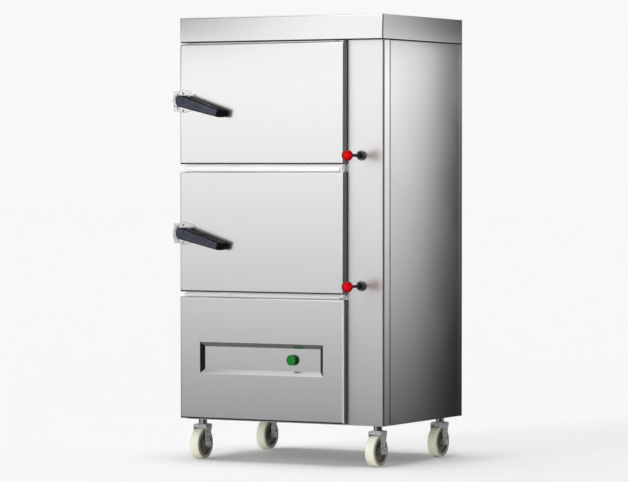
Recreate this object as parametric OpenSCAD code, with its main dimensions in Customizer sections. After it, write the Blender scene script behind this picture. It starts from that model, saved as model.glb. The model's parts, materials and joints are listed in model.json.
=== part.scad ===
// Two-chamber rice steamer cabinet on four swivel castors.
// Millimetres, +Z up, X to the right and Y to the rear as seen from the front.
// Sizes below are measured from the middle of the body and from the face of the front frame.
// The origin lies on the floor, under the middle of the box round the whole object.

/* [Cabinet] */
// Width of the body across its side panels
body_w = 720; // [690:5:800]
// Depth of the body from the front frame to the rear face
body_d = 553; // [530:1:640]
// Depth of the rear cover pan
cover_d = 23; // [18:1:40]
// Thickness of the steel sheet
sheet = 1.2; // [0.8:0.1:1.5]
// Width of the pillar cover beside the doors
pillar_w = 129; // [122:1:150]
// Depth of the frame's returns along the body's sides
return_d = 39; // [30:1:50]
// Width of the groove between a return and its side panel
seam = 5; // [2:0.5:8]
// Depth of that groove
seam_d = 10; // [6:1:12]
// Width of the frame stile on the latch side
stile_w = 38; // [35:1:46]
// Width of the folded flanges inside the body
flange_w = 20; // [12:1:26]

/* [Top cap] */
// Height of the cap
cap_h = 83; // [60:1:110]
// Overhang of the cap, doors and lower panel past the side panels
cap_overhang = 11; // [6:1:18]
// Width of the cap's bottom lip over the body
cap_lip = 24; // [16:1:40]
// Gap between the upper door and the cap
cap_gap = 3; // [2:0.5:6]

/* [Doors] */
// Height of each door
door_h = 388; // [350:1:430]
// Gap between the two doors
door_gap = 24; // [20:1:32]
// How far doors, lower panel and cap stand in front of the frame
door_proud = 27; // [25:1:34]
// Space between a closed door and the frame
gasket_gap = 5; // [4:0.5:7]
// Radius of the upright front edges
edge_r = 6; // [4:0.5:8]
// Radius of the level front edges
fold_r = 6; // [3:0.5:7]
// Reach of the drip ledges under the doors
drip_out = 20; // [14:1:22]
// Space above and below a drip ledge
drip_gap = 2; // [1:0.5:4]
// Overlap of a door over its opening, above and below
door_lap = 25; // [23:1:34]
// Overlap of a door over its opening on the hinge side
hinge_lap = 41; // [38:1:50]
// Width of the gasket
gasket_w = 14; // [8:1:16]
// Distance of the gasket from the opening
gasket_set = 4; // [2:0.5:6]
// Clearance of a closed gasket to the frame
gasket_clear = 0.3; // [0.2:0.1:0.6]
// How far the inner tray of a door reaches into its chamber
plug_d = 8; // [4:1:12]
// Gap round the inner tray of a door
plug_gap = 8; // [5:1:14]

/* [Hinges] */
// Diameter of the hinge pins
pin_d = 8; // [6:1:10]
// Distance of the hinge axis from the door's edge
pin_edge = 10; // [9.5:0.5:11]
// Radial clearance of a pin or shaft in its bore
run_clear = 0.08; // [0.03:0.01:0.1]
// Outer diameter of the door bushes
bush_d = 14; // [13:1:16]
// Length of a bush in the door
bush_l = 16; // [10:1:30]
// Diameter of the bush collars
collar_d = 18; // [17:1:20]
// Clearance between parts that slide face to face
slide_clear = 0.3; // [0.2:0.1:0.6]
// Thickness of the hinge brackets
bracket_t = 5; // [3:0.5:6]

/* [Chambers] */
// Thickness of the insulation behind the chambers
back_ins = 44; // [30:1:60]
// Thickness of the insulation beside the chambers, towards the pillar
side_ins = 25; // [15:1:30]
// Thickness of the insulation under the lower chamber
floor_ins = 30; // [20:1:40]
// Number of tray ledges on each side of a chamber
ledge_count = 4; // [3:1:5]
// Height of the lowest ledge above the chamber's floor
ledge_first = 56; // [52:1:80]
// Space above the highest ledge
ledge_top = 58; // [40:1:80]
// Width of a ledge
ledge_w = 16; // [10:1:24]
// Thickness of the rack metal
rack_t = 3; // [2:0.5:5]
// Width of the rack uprights
upright_w = 20; // [12:1:30]
// Distance of the rack uprights from the ends of the ledges
upright_in = 60; // [30:1:100]
// Distance of the ledges from the chamber's mouth and back
ledge_end = 30; // [20:1:60]

/* [Latches] */
// Distance of a latch pivot from the door's free edge
latch_edge = 30; // [28:1:40]
// Height of the upper latch pivot above its door's lower edge
upper_latch_up = 203; // [150:1:240]
// Height of the lower latch pivot above its door's lower edge
lower_latch_up = 189; // [150:1:240]
// Length of a lever from its pivot to its end
lever_l = 152; // [110:1:180]
// Radius of a lever's end, which curves back to the door
lever_curve_r = 20; // [10:1:26]
// Diameter of the disc on a lever's nose
lever_disc_d = 26; // [14:1:28]
// Height of the disc on a lever's nose
lever_disc_h = 1.2; // [0.6:0.2:2]
// Diameter of a lever's nose
nose_d = 38; // [36:1:42]
// Height of a lever at its free end
lever_end_h = 25; // [18:1:30]
// Corner radius of a lever's free end
lever_end_r = 5; // [3:0.5:8]
// Depth of a lever
lever_t = 38; // [30:1:42]
// Wall of a lever round its hollow back
lever_wall = 4; // [3:0.5:6]
// Edge chamfer of a lever's front
lever_chamfer = 3; // [1:0.5:3.5]
// Droop of a closed lever below level, in degrees
lever_droop = 16; // [5:1:25]
// Thickness of the latch plates and strikes
latch_plate_t = 3; // [2:0.5:4]
// Height of a latch plate
latch_plate_h = 74; // [68:1:84]
// Reach of a latch plate past its pivot
latch_plate_l = 29; // [26:1:40]
// Radius of a latch plate's shoulder
latch_plate_r = 15; // [14:1:18]
// Rise of a latch plate's lower edge towards its end
latch_plate_cut = 7; // [3:1:12]
// Diameter of the pad on a latch plate's shoulder
latch_pad_d = 24; // [18:1:26]
// Height of the pad on a latch plate's shoulder
latch_pad_h = 2; // [1:0.5:2.5]
// Rise of that pad above the pivot
latch_pad_z = 14; // [10:1:20]
// Height of the boss on a latch plate
latch_boss_h = 3; // [2:0.5:6]
// Diameter of the boss on a latch plate
latch_boss_d = 40; // [30:1:48]
// Diameter of a lever's spindle
spindle_d = 12; // [10:1:14]
// Thickness of the latch hook
hook_t = 5; // [3:0.5:8]
// Width of the hook outside its slot
hook_rim = 8; // [5:0.5:10]
// Angle of the hook from its stud to its open mouth, in degrees
hook_mouth = 28; // [20:1:40]
// Angle of the hook from its stud to its closed end, in degrees
hook_heel = 24; // [16:1:30]
// Width of a strike plate
strike_w = 21.5; // [20:0.5:28]
// Height of a strike plate
strike_h = 64; // [50:1:80]
// Gap between a strike and the door's edge
strike_gap = 1.5; // [1:0.5:3]
// Length of a strike's foot on the side of the body
strike_foot = 28; // [20:1:30]
// Diameter of a strike stud's neck
stud_d = 8; // [6:0.5:9]
// Diameter of a strike stud's head
stud_head_d = 12; // [11:0.5:13]
// Thickness of a strike stud's head
stud_head_t = 3; // [2:0.5:5]

/* [Lower panel] */
// Height of the lower panel
panel_h = 394; // [360:1:430]
// Gap between the lower panel and the lower door
panel_gap = 16; // [14:1:24]
// Height of the lower panel above the body's bottom edge
panel_lift = 4; // [2:0.5:8]
// Width of the pressed recess at its mouth
recess_w = 452; // [380:1:480]
// Height of the pressed recess at its mouth
recess_h = 101; // [90:1:120]
// Depth of the recess
recess_d = 10; // [6:0.5:14]
// Width of the recess's sloped sides
recess_bevel = 14; // [8:0.5:18]
// Height of the recess's middle above the panel's lower edge
recess_up = 198; // [150:1:220]
// Distance of the button from the recess's middle
button_x = 112; // [60:1:150]
// Diameter of the button
button_d = 34; // [24:1:38]
// Thickness of the button's cap
button_t = 9; // [6:0.5:12]
// Travel of the button
button_travel = 4; // [2:0.5:6]
// Diameter of the button's stem
button_stem_d = 16; // [12:1:18]
// Width of the control box
box_w = 150; // [80:1:180]
// Height of the control box
box_h = 56; // [50:1:66]
// Depth of the control box
box_d = 66; // [56:1:76]

/* [Steam valves] */
// Distance of the valve rods from the body's right side
valve_in = 80; // [76:1:90]
// Height of a valve rod above its door's lower edge
valve_up = 28; // [24:1:34]
// Diameter of the ball knobs
knob_d = 36; // [30:1:42]
// Distance of a knob's middle from the frame when pulled out
knob_reach = 95; // [85:1:110]
// Diameter of the valve rods
rod_d = 10; // [8:1:12]
// Travel of the valve rods
valve_travel = 36; // [20:1:40]
// Diameter of a valve body
valve_d = 44; // [38:1:48]
// Wall of a valve body
valve_wall = 8; // [6:0.5:9]
// Length of a valve's piston
piston_l = 20; // [18:1:26]
// Length of a valve's inlet boss from its axis
boss_l = 32; // [28:1:34]
// Outer diameter of the steam pipes
pipe_d = 20; // [18:1:22]
// Bore of the steam pipes
pipe_bore = 15; // [10:1:16]
// Rise of a steam feed from its valve to its chamber
feed_rise = 28; // [24:1:32]
// Length of a steam feed's nozzle in the chamber
nozzle_l = 8; // [4:1:12]

/* [Boiler] */
// Width of the boiler tank
boiler_w = 430; // [360:5:460]
// Depth of the boiler tank
boiler_d = 340; // [300:5:360]
// Height of the boiler tank
boiler_h = 230; // [200:5:250]
// Wall of the boiler tank
boiler_wall = 2; // [1.5:0.1:3]
// Distance of the tank's front wall from the frame
boiler_front = 96; // [90:1:110]
// Distance of the tank's middle to the left of the body's middle
boiler_left = 60; // [40:1:70]
// Diameter of the heating tubes
tube_d = 10; // [8:1:12]
// Spacing of the heating tubes
tube_pitch = 20; // [16:1:24]
// Length of the heating tubes in the tank
tube_l = 340; // [200:5:345]
// Diameter of the float
float_d = 56; // [40:1:70]
// Length of the float's arm
float_l = 120; // [100:1:150]
// Droop of the float's arm in an empty tank, in degrees
float_droop = 25; // [10:1:30]
// Diameter of the water inlet, a half-inch pipe thread
inlet_d = 21; // [16:0.5:26]
// Diameter of the drain outlet, a three-quarter-inch pipe thread
drain_d = 26.5; // [20:0.5:32]
// Reach of the pipe ends behind the rear cover
spigot_out = 25; // [15:1:40]
// Bore of the cable gland
gland_bore = 14; // [10:1:16]

/* [Castors] */
// Diameter of the wheels
wheel_d = 100; // [80:1:125]
// Width of the wheels
wheel_w = 32; // [24:1:36]
// Radius of the wheels' tread edges
tread_r = 4; // [3:1:12]
// Width of the wheel hubs
hub_w = 40; // [37:1:44]
// Diameter of the wheel hubs
hub_d = 30; // [22:1:36]
// Radial thickness of the wheel rims
rim_t = 14; // [10:1:18]
// Thickness of the wheel webs
web_t = 14; // [8:1:18]
// Slope of the wheels' recessed sides
wheel_draft = 2; // [0.5:0.5:2.5]
// Diameter of the axle bolts
axle_d = 10; // [8:1:12]
// Distance of the stems from the body's sides
castor_in = 39; // [36:1:60]
// Distance of the front stems from the frame
castor_front = 34; // [32:1:80]
// Distance of the rear stems from the rear face
castor_rear = 84; // [70:1:120]
// Trail of a wheel's axle from its stem
trail = 10; // [5:1:16]
// Gap between a wheel and its fork's crown
fork_gap = 9.7; // [8:0.1:14]
// Thickness of the forks' legs
leg_t = 3; // [2:0.5:4]
// Width of a fork's legs at the crown
leg_w = 44; // [36:1:50]
// Width of a fork's legs at the axle
leg_end_w = 20; // [18:1:30]
// Thickness of the forks' crowns
crown_t = 4; // [3:0.5:6]
// Outer radius of the forks' bends
fork_bend_r = 7; // [5:1:9]
// Space between a wheel and the skirts in front of and behind it
skirt_gap = 2; // [1:0.5:4]
// Height of the stem collars
stem_collar_h = 16; // [10:1:22]
// Diameter of the stem collars
stem_collar_d = 27; // [22:1:34]
// Diameter of the threaded stems
stem_d = 12; // [10:1:14]
// Width and height of the base rails
rail_w = 40; // [32:1:50]
// Wall of the base rails
rail_wall = 2; // [1.5:0.1:3]

/* [Hidden] */
$fn = 64;
hull_fn = 32;
UPPER = 0;
LOWER = 1;
over = 1;
fit = 0.1;
hole_clear = 1;

// Heights of the stack, from the floor up
base_z = wheel_d + fork_gap + crown_t + slide_clear + stem_collar_h;
panel_z = base_z + panel_lift;
lower_door_z = panel_z + panel_h + panel_gap;
upper_door_z = lower_door_z + door_h + door_gap;
cap_z = upper_door_z + door_h + cap_gap;
top_z = cap_z + cap_h;
door_zs = [upper_door_z, lower_door_z];

// Front and sides
half_w = body_w / 2;
shell_d = body_d - cover_d;
front_y = -door_proud;
door_back = -gasket_gap;
door_x0 = -half_w - cap_overhang;
door_x1 = half_w - pillar_w;

// Openings of the chambers and of the boiler bay
open_x0 = -half_w + stile_w;
open_x1 = door_x1 - hinge_lap;
open_z0 = [for (z = door_zs) z + door_lap];
open_z1 = [for (z = door_zs) z + door_h - door_lap];
bay_z0 = panel_z + door_lap;
bay_z1 = panel_z + panel_h - door_lap;
chamber_y = shell_d - sheet - back_ins - sheet;
chamber_rim = 14;
groove_x = half_w - seam_d;
side_y = return_d + seam;
drip_edge = 2;
drip_slope = 7;

// Hinge axis, midway through the doors' thickness
pin_x = door_x1 - pin_edge;
pin_y = (front_y + door_back) / 2;
pin_room = 2;
pin_in = bush_l - pin_room;
bracket_r = pin_edge;
mid_bracket_z = upper_door_z - (door_gap + bracket_t) / 2;
low_bracket_z = lower_door_z - (panel_gap + bracket_t) / 2;

// Latch, from the door's front outwards
pivot_x = door_x0 + latch_edge;
pivot_zs = [upper_door_z + upper_latch_up, lower_door_z + lower_latch_up];
latch_plate_y = front_y - latch_plate_t;
latch_boss_y = latch_plate_y - latch_boss_h;
hook_y1 = latch_boss_y - slide_clear;
hook_y0 = hook_y1 - hook_t;
lever_front = hook_y0 - lever_t;
spindle_in = lever_t / 2;
latch_ear = 18;
latch_heel_r = 6;
latch_pad_x = latch_plate_l - latch_plate_r;
spindle_nut_t = 5;
spindle_nut_rim = 4;
spindle_nut_d = spindle_d + 2 * spindle_nut_rim;
spindle_nut_y = front_y + sheet + slide_clear;
strike_x1 = door_x0 - strike_gap;
strike_x0 = strike_x1 - strike_w;
stud_x = strike_x1 - stud_head_d / 2;
stud_r = pivot_x - stud_x;
stud_slot_r = stud_d / 2 + slide_clear;
hook_step = 1;
strike_leg_y = 3 * latch_plate_t;

// Lower panel
recess_x = (door_x0 + door_x1) / 2;
recess_z = panel_z + recess_up;
recess_y = front_y + recess_d;
bezel_t = 2.5;
bezel_d = 30;
barrel_d = 22;
switch_l = 36;
button_y = recess_y - bezel_t - button_travel - slide_clear * 2;
button_grip = 14;
button_stem_l = button_travel + bezel_t + button_grip;
button_dome = 70;

// Steam valves, along their axes
valve_x = half_w - valve_in;
valve_zs = [for (z = door_zs) z + valve_up];
knob_flat = 3;
gland_flange_t = 3;
gland_flange_d = 34;
gland_nut_t = 9;
gland_nut_d = 26;
gland_barrel_d = 20;
valve_y0 = 24;
piston_room = 2;
piston_end_room = 12;
piston_y = valve_y0 + valve_wall + piston_room;
valve_y1 = piston_y + piston_l + valve_travel + piston_end_room + valve_wall;
inlet_y = piston_y + valve_travel + piston_l / 2;
piston_d = valve_d - 2 * valve_wall;
boss_wall = 3;
riser_stub = 3;
riser_flange_t = 6;
riser_flange_d = 2 * pipe_d;
riser_x = valve_x + boss_l + pipe_d / 2 + riser_stub;
feed_y = valve_y1 + pipe_d;

// Boiler bay, on the base rails
rail_z0 = base_z + sheet;
rail_z1 = rail_z0 + rail_w;
boiler_x0 = -boiler_left - boiler_w / 2;
boiler_x1 = -boiler_left + boiler_w / 2;
boiler_y1 = boiler_front + boiler_d;
boiler_z1 = rail_z1 + boiler_h;
lid_t = 2;
lid_edge = 12;
steam_out_in = [80, 60];
steam_rise = 40;
steam_out = [boiler_x1 - steam_out_in.x, boiler_front + steam_out_in.y];
steam_run_z = boiler_z1 + lid_t + steam_rise;
heater_up = 50;
heater_z = rail_z1 + heater_up;
heater_y = boiler_front + boiler_d / 2;
heater_rise = 14;
heater_flange_d = 90;
heater_hole_d = 72;
heater_flange_t = 8;
heater_cap_l = 42;
inlet_in = 90;
inlet_down = 62;
inlet_x = boiler_x0 + inlet_in;
inlet_z = boiler_z1 - inlet_down;
float_pin_d = 6;
float_pivot_in = 46;
float_pivot_y = boiler_y1 - float_pivot_in;
clevis_gap = 10;
clevis_t = 4;
clevis_l = 16;
clevis_root = 2;
drain_in = 120;
drain_up = 30;
drain_x = boiler_x1 - drain_in;
drain_z = rail_z1 + drain_up;
pipe_end_wall = 4;
pipe_nut_t = 7;
pipe_nut_rim = 6;
back_nut_t = 6;

// Cable gland in the rear cover
cable_in = 100;
cable_up = 90;
cable_x = half_w - cable_in;
cable_z = base_z + cable_up;
cable_wall = 3;
cable_nut_rim = 7;
cable_lock_t = 6;
cable_lock_room = 2;
cable_body_t = 8;
cable_cap_l = 10;
cable_cap_step = 1;

// Castors
wheel_r = wheel_d / 2;
castor_x = half_w - castor_in;
stem_ys = [castor_front, body_d - castor_rear];
crown_z1 = base_z - stem_collar_h - slide_clear;
crown_z0 = crown_z1 - crown_t;
swivel_step = 1;
swivel_d = stem_d - 2 * swivel_step;
swivel_head_t = 3;
swivel_head_rim = 4;
swivel_head_d = swivel_d + 2 * swivel_head_rim;
stem_nut_t = 8;
stem_nut_rim = 3.5;
stem_tip = 4;
stem_up = rail_wall + sheet + stem_nut_t + stem_tip;
leg_x = hub_w / 2 + slide_clear;
axle_nut_t = 8;
axle_nut_rim = 4.5;
axle_nut_d = axle_d + 2 * axle_nut_rim;

// Place of the body and of the frame's face about the origin
body_x = -(strike_x0 + half_w + cap_overhang) / 2;
face_y = (knob_reach + knob_d / 2 - body_d - spigot_out) / 2;

// Colours of the materials
STEEL = "gainsboro";
ZINC = "lightgray";
BRASS = "darkkhaki";
FOAM = "wheat";
RUBBER = "dimgray";
NYLON = "ivory";
LEVER = "darkslategray";
DARK_STEEL = "dimgray";

// Helpers

module in_frame() {
    translate([body_x, face_y, 0]) children();
}

module box(lo, hi) {
    translate(lo) cube(hi - lo);
}

module rod_x(r, x0, x1) {
    translate([x0, 0, 0]) rotate([0, 90, 0]) cylinder(h = x1 - x0, r = r);
}

module rod_y(r, y0, y1) {
    translate([0, y0, 0]) rotate([-90, 0, 0]) cylinder(h = y1 - y0, r = r);
}

module rod_z(r, z0, z1) {
    translate([0, 0, z0]) cylinder(h = z1 - z0, r = r);
}

// Hexagon along Y, measured across its flats
module hex_y(across, y0, y1) {
    translate([0, y0, 0]) rotate([-90, 0, 0]) cylinder(h = y1 - y0, d = across / cos(30), $fn = 6);
}

module hex_x(across, x0, x1) {
    translate([x0, 0, 0]) rotate([0, 90, 0]) cylinder(h = x1 - x0, d = across / cos(30), $fn = 6);
}

// A flat outline in X and Z, given thickness along Y
module upright_plate(y0, y1) {
    translate([0, y1, 0]) rotate([90, 0, 0]) linear_extrude(y1 - y0) children();
}

function arc(c, r, a0, a1, steps = 8) =
    [for (i = [0 : steps]) let (a = a0 + (a1 - a0) * i / steps) c + r * [cos(a), sin(a)]];

function round_rect(x0, x1, y0, y1, r) = concat(
    arc([x0 + r, y0 + r], r, 180, 270), arc([x1 - r, y0 + r], r, 270, 360),
    arc([x1 - r, y1 - r], r, 0, 90), arc([x0 + r, y1 - r], r, 90, 180));

// Outline seen from above, with rounded front corners
function front_outline(lo, hi, r) = concat(
    [[hi.x, hi.y], [lo.x, hi.y]],
    arc([lo.x + r, lo.y + r], r, 180, 270),
    arc([hi.x - r, lo.y + r], r, 270, 360));

// Upright block whose front edges are rounded, or the space a skin's thickness inside one
module front_block(lo, hi, skin = 0) {
    r = fold_r - skin;
    side = concat(
        [[hi.y, lo.z], [hi.y, hi.z]],
        arc([lo.y + r, hi.z - r], r, 90, 180),
        arc([lo.y + r, lo.z + r], r, 180, 270));
    intersection() {
        translate([0, 0, lo.z]) linear_extrude(hi.z - lo.z) polygon(front_outline(lo, hi, edge_r - skin));
        translate([lo.x, 0, 0]) rotate([90, 0, 90]) linear_extrude(hi.x - lo.x) polygon(side);
    }
}

// Folded pan, open towards the rear
module front_pan(lo, hi) {
    difference() {
        front_block(lo, hi);
        front_block(lo + [sheet, sheet, sheet], hi + [-sheet, over, -sheet], sheet);
    }
}

// Straight runs through points along the axes, with a ball in each corner
module run(points, r) {
    for (i = [1 : len(points) - 1]) {
        a = points[i - 1];
        b = points[i];
        lo = [min(a.x, b.x), min(a.y, b.y), min(a.z, b.z)];
        size = [abs(b.x - a.x), abs(b.y - a.y), abs(b.z - a.z)];
        translate(lo) {
            if (size.x > 0) rod_x(r, 0, size.x);
            if (size.y > 0) rod_y(r, 0, size.y);
            if (size.z > 0) rod_z(r, 0, size.z);
        }
        if (i < len(points) - 1) translate(b) sphere(r = r);
    }
}

module pipe(points) {
    difference() {
        run(points, pipe_d / 2);
        run(points, pipe_bore / 2);
    }
}

// Four-sided block whose mouth is wider than its floor, for the pressed recess
module recess_block(grow, y0, y1) {
    mouth = [recess_w / 2 + grow, recess_h / 2 + grow];
    floor_half = mouth - [recess_bevel, recess_bevel];
    points = concat(
        [for (s = [[-1, -1], [1, -1], [1, 1], [-1, 1]])
            [recess_x + s.x * mouth.x, y0, recess_z + s.y * mouth.y]],
        [for (s = [[-1, -1], [1, -1], [1, 1], [-1, 1]])
            [recess_x + s.x * floor_half.x, y1, recess_z + s.y * floor_half.y]]);
    faces = [[0, 3, 2, 1], [4, 5, 6, 7], [0, 1, 5, 4], [1, 2, 6, 5], [2, 3, 7, 6], [3, 0, 4, 7]];
    polyhedron(points = points, faces = faces);
}

// Body shell

module frame_stiles() {
    color(STEEL) in_frame() {
        union() {
            box([-half_w, 0, base_z], [open_x0, sheet, cap_z]);
            box([-half_w, 0, base_z], [-half_w + sheet, return_d, cap_z]);
            box([-half_w, return_d - sheet, rail_z0], [-groove_x, return_d, cap_z]);
        }
        union() {
            box([open_x1, 0, base_z], [door_x1, sheet, cap_z]);
            box([door_x1 - sheet, 0, rail_z0], [door_x1, flange_w, cap_z]);
        }
    }
}

// Rails across the frame, with a sloped drip ledge in the gap under each door
module frame_rails() {
    rows = [
        [base_z, bay_z0], [bay_z1, open_z0[LOWER]],
        [open_z1[LOWER], open_z0[UPPER]], [open_z1[UPPER], cap_z]];
    gaps = [[panel_z + panel_h, lower_door_z], [lower_door_z + door_h, upper_door_z]];
    ledge_x1 = pin_x - bracket_r - hole_clear;
    color(STEEL) in_frame() {
        for (row = rows) box([open_x0, 0, row[0]], [open_x1, sheet, row[1]]);
        for (gap = gaps) {
            low = gap[0] + drip_gap;
            high = gap[1] - drip_gap;
            slope = [[0, low], [-drip_out, low], [-drip_out, low + drip_edge],
                [drip_slope - drip_out, high], [0, high]];
            translate([-half_w, 0, 0]) rotate([90, 0, 90]) linear_extrude(ledge_x1 + half_w) polygon(slope);
        }
    }
}

module pillar_cover() {
    bend = [half_w - edge_r, edge_r];
    section = concat(
        [[door_x1, sheet], [door_x1, 0]], arc(bend, edge_r, 270, 360),
        [[half_w, return_d], [half_w - sheet, return_d]], arc(bend, edge_r - sheet, 360, 270));
    color(STEEL) in_frame() difference() {
        union() {
            translate([0, 0, base_z]) linear_extrude(cap_z - base_z) polygon(section);
            box([door_x1, 0, rail_z0], [door_x1 + sheet, flange_w, cap_z]);
            box([groove_x, return_d - sheet, rail_z0], [half_w, return_d, cap_z]);
        }
        for (z = valve_zs) translate([valve_x, 0, z])
            rod_y(gland_barrel_d / 2 + fit, -over, sheet + over);
    }
}

// Right-hand side panel, folded into the groove's wall and floor in front, and a flange at the rear
module side_panel() {
    box([half_w - sheet, side_y, base_z], [half_w, shell_d, cap_z]);
    box([groove_x, side_y, rail_z0], [half_w, side_y + sheet, cap_z]);
    box([groove_x - sheet, return_d - sheet, rail_z0], [groove_x, side_y + sheet, cap_z]);
    box([half_w - flange_w, shell_d - sheet, base_z], [half_w, shell_d, cap_z]);
}

module left_panel() {
    color(STEEL) in_frame() mirror([1, 0, 0]) side_panel();
}

module right_panel() {
    color(STEEL) in_frame() side_panel();
}

module rear_cover() {
    color(STEEL) in_frame() difference() {
        box([-half_w, shell_d, base_z], [half_w, body_d, top_z]);
        box([sheet - half_w, shell_d - over, base_z + sheet],
            [half_w - sheet, body_d - sheet, top_z - sheet]);
        translate([inlet_x, 0, inlet_z]) rod_y(inlet_d / 2 + hole_clear, shell_d, body_d + over);
        translate([drain_x, 0, drain_z]) rod_y(drain_d / 2 + hole_clear, shell_d, body_d + over);
        translate([cable_x, 0, cable_z]) rod_y(gland_bore / 2 + cable_wall + fit, shell_d, body_d + over);
    }
}

// Block of the cap with its side edges rounded too, or the space a skin's thickness inside it
module cap_block(lo, hi, skin = 0) {
    intersection() {
        front_block(lo, hi, skin);
        upright_plate(lo.y, hi.y) polygon(round_rect(lo.x, hi.x, lo.z, hi.z, fold_r - skin));
    }
}

module top_cap() {
    lo = [door_x0, front_y, cap_z];
    hi = [half_w + cap_overhang, shell_d, top_z];
    color(STEEL) in_frame() difference() {
        cap_block(lo, hi);
        cap_block(lo + sheet * [1, 1, 1], hi - sheet * [1, 1, 1], sheet);
        box([cap_lip - half_w, cap_lip, cap_z - over],
            [half_w - cap_lip, shell_d - cap_lip, cap_z + sheet]);
        translate([pin_x, pin_y, 0]) rod_z(pin_d / 2 + fit, cap_z - over, cap_z + sheet + over);
    }
}

module base_plate() {
    lo = [2 * sheet - half_w, sheet];
    hi = [half_w - 2 * sheet, shell_d - sheet];
    color(STEEL) in_frame() difference() {
        translate([0, 0, base_z]) linear_extrude(sheet) polygon(front_outline(lo, hi, edge_r - sheet));
        for (x = [-castor_x, castor_x], y = stem_ys)
            translate([x, y, 0]) rod_z(stem_d / 2 + fit, base_z - over, base_z + sheet + over);
    }
}

module base_rails() {
    rail_ends = [flange_w / 2, shell_d - flange_w / 2];
    cross_in = castor_x - rail_w / 2;
    color(ZINC) in_frame() {
        for (x = [-castor_x, castor_x]) difference() {
            box([x - rail_w / 2, rail_ends[0], rail_z0], [x + rail_w / 2, rail_ends[1], rail_z1]);
            box([x - rail_w / 2 + rail_wall, rail_ends[0] - over, rail_z0 + rail_wall],
                [x + rail_w / 2 - rail_wall, rail_ends[1] + over, rail_z1 - rail_wall]);
            for (y = stem_ys) translate([x, y, 0])
                rod_z(stem_d / 2 + fit, rail_z0 - over, rail_z0 + rail_wall + over);
        }
        for (y = [boiler_front + rail_w, boiler_y1 - rail_w]) difference() {
            box([-cross_in, y - rail_w / 2, rail_z0], [cross_in, y + rail_w / 2, rail_z1]);
            box([-cross_in - over, y - rail_w / 2 + rail_wall, rail_z0 + rail_wall],
                [cross_in + over, y + rail_w / 2 - rail_wall, rail_z1 - rail_wall]);
        }
    }
}

// Chambers

module chamber(i) {
    rim = chamber_rim;
    color(STEEL) in_frame() difference() {
        union() {
            box([open_x0 - sheet, sheet, open_z0[i] - sheet],
                [open_x1 + sheet, chamber_y + sheet, open_z1[i] + sheet]);
            box([open_x0 - rim, sheet, open_z0[i] - rim], [open_x1 + rim, 2 * sheet, open_z1[i] + rim]);
        }
        box([open_x0, 0, open_z0[i]], [open_x1, chamber_y, open_z1[i]]);
        translate([0, feed_y, valve_zs[i] + feed_rise])
            rod_x(pipe_d / 2 + fit, open_x1 - over, open_x1 + sheet + over);
    }
}

module foam_insulation() {
    ins_z0 = open_z0[LOWER] - sheet - floor_ins;
    ins_y = [2 * sheet, chamber_y + sheet];
    inner = [open_x0 - sheet, open_x1 + sheet];
    layers = [
        [ins_z0, open_z0[LOWER] - sheet],
        [open_z1[LOWER] + sheet, open_z0[UPPER] - sheet],
        [open_z1[UPPER] + sheet, cap_z]];
    color(FOAM) in_frame() {
        difference() {
            box([sheet - half_w, ins_y[0], ins_z0], [inner[0], shell_d - sheet, cap_z]);
            box([-half_w, return_d - sheet - fit, ins_z0 - over],
                [sheet + fit - groove_x, side_y + sheet + fit, cap_z + over]);
        }
        box([inner[0], ins_y[1], ins_z0], [inner[1] + side_ins, shell_d - sheet, cap_z]);
        for (layer = layers) box([inner[0], ins_y[0], layer[0]], [inner[1], ins_y[1], layer[1]]);
        difference() {
            box([inner[1], ins_y[0], ins_z0], [inner[1] + side_ins, ins_y[1], cap_z]);
            for (z = valve_zs) translate([0, feed_y, z + feed_rise])
                rod_x(pipe_d / 2 + fit, inner[1] - over, inner[1] + side_ins + over);
        }
    }
}

// Both chambers' racks: what stands on a left wall, and its mirror image on the right wall
module on_chamber_walls() {
    in_frame() {
        translate([open_x0, 0, 0]) children();
        translate([open_x1, 0, 0]) mirror([1, 0, 0]) children();
    }
}

module rack_uprights() {
    upright_ys = [ledge_end + upright_in, chamber_y - ledge_end - upright_in - upright_w];
    color(ZINC) on_chamber_walls() for (i = [UPPER, LOWER], y = upright_ys)
        box([0, y, open_z0[i]], [rack_t, y + upright_w, open_z1[i] - ledge_top / 2]);
}

// Angle ledges on the uprights, each with a low lip that guides the tray
module tray_ledges() {
    pitch = (door_h - 2 * door_lap - ledge_first - ledge_top) / (ledge_count - 1);
    ends = [ledge_end, chamber_y - ledge_end];
    color(ZINC) on_chamber_walls() for (i = [UPPER, LOWER], k = [0 : ledge_count - 1]) {
        z = open_z0[i] + ledge_first + k * pitch;
        box([rack_t, ends[0], z - rack_t], [rack_t + ledge_w, ends[1], z]);
        box([rack_t, ends[0], z], [2 * rack_t, ends[1], z + 2 * rack_t]);
    }
}

// Hinges

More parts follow.
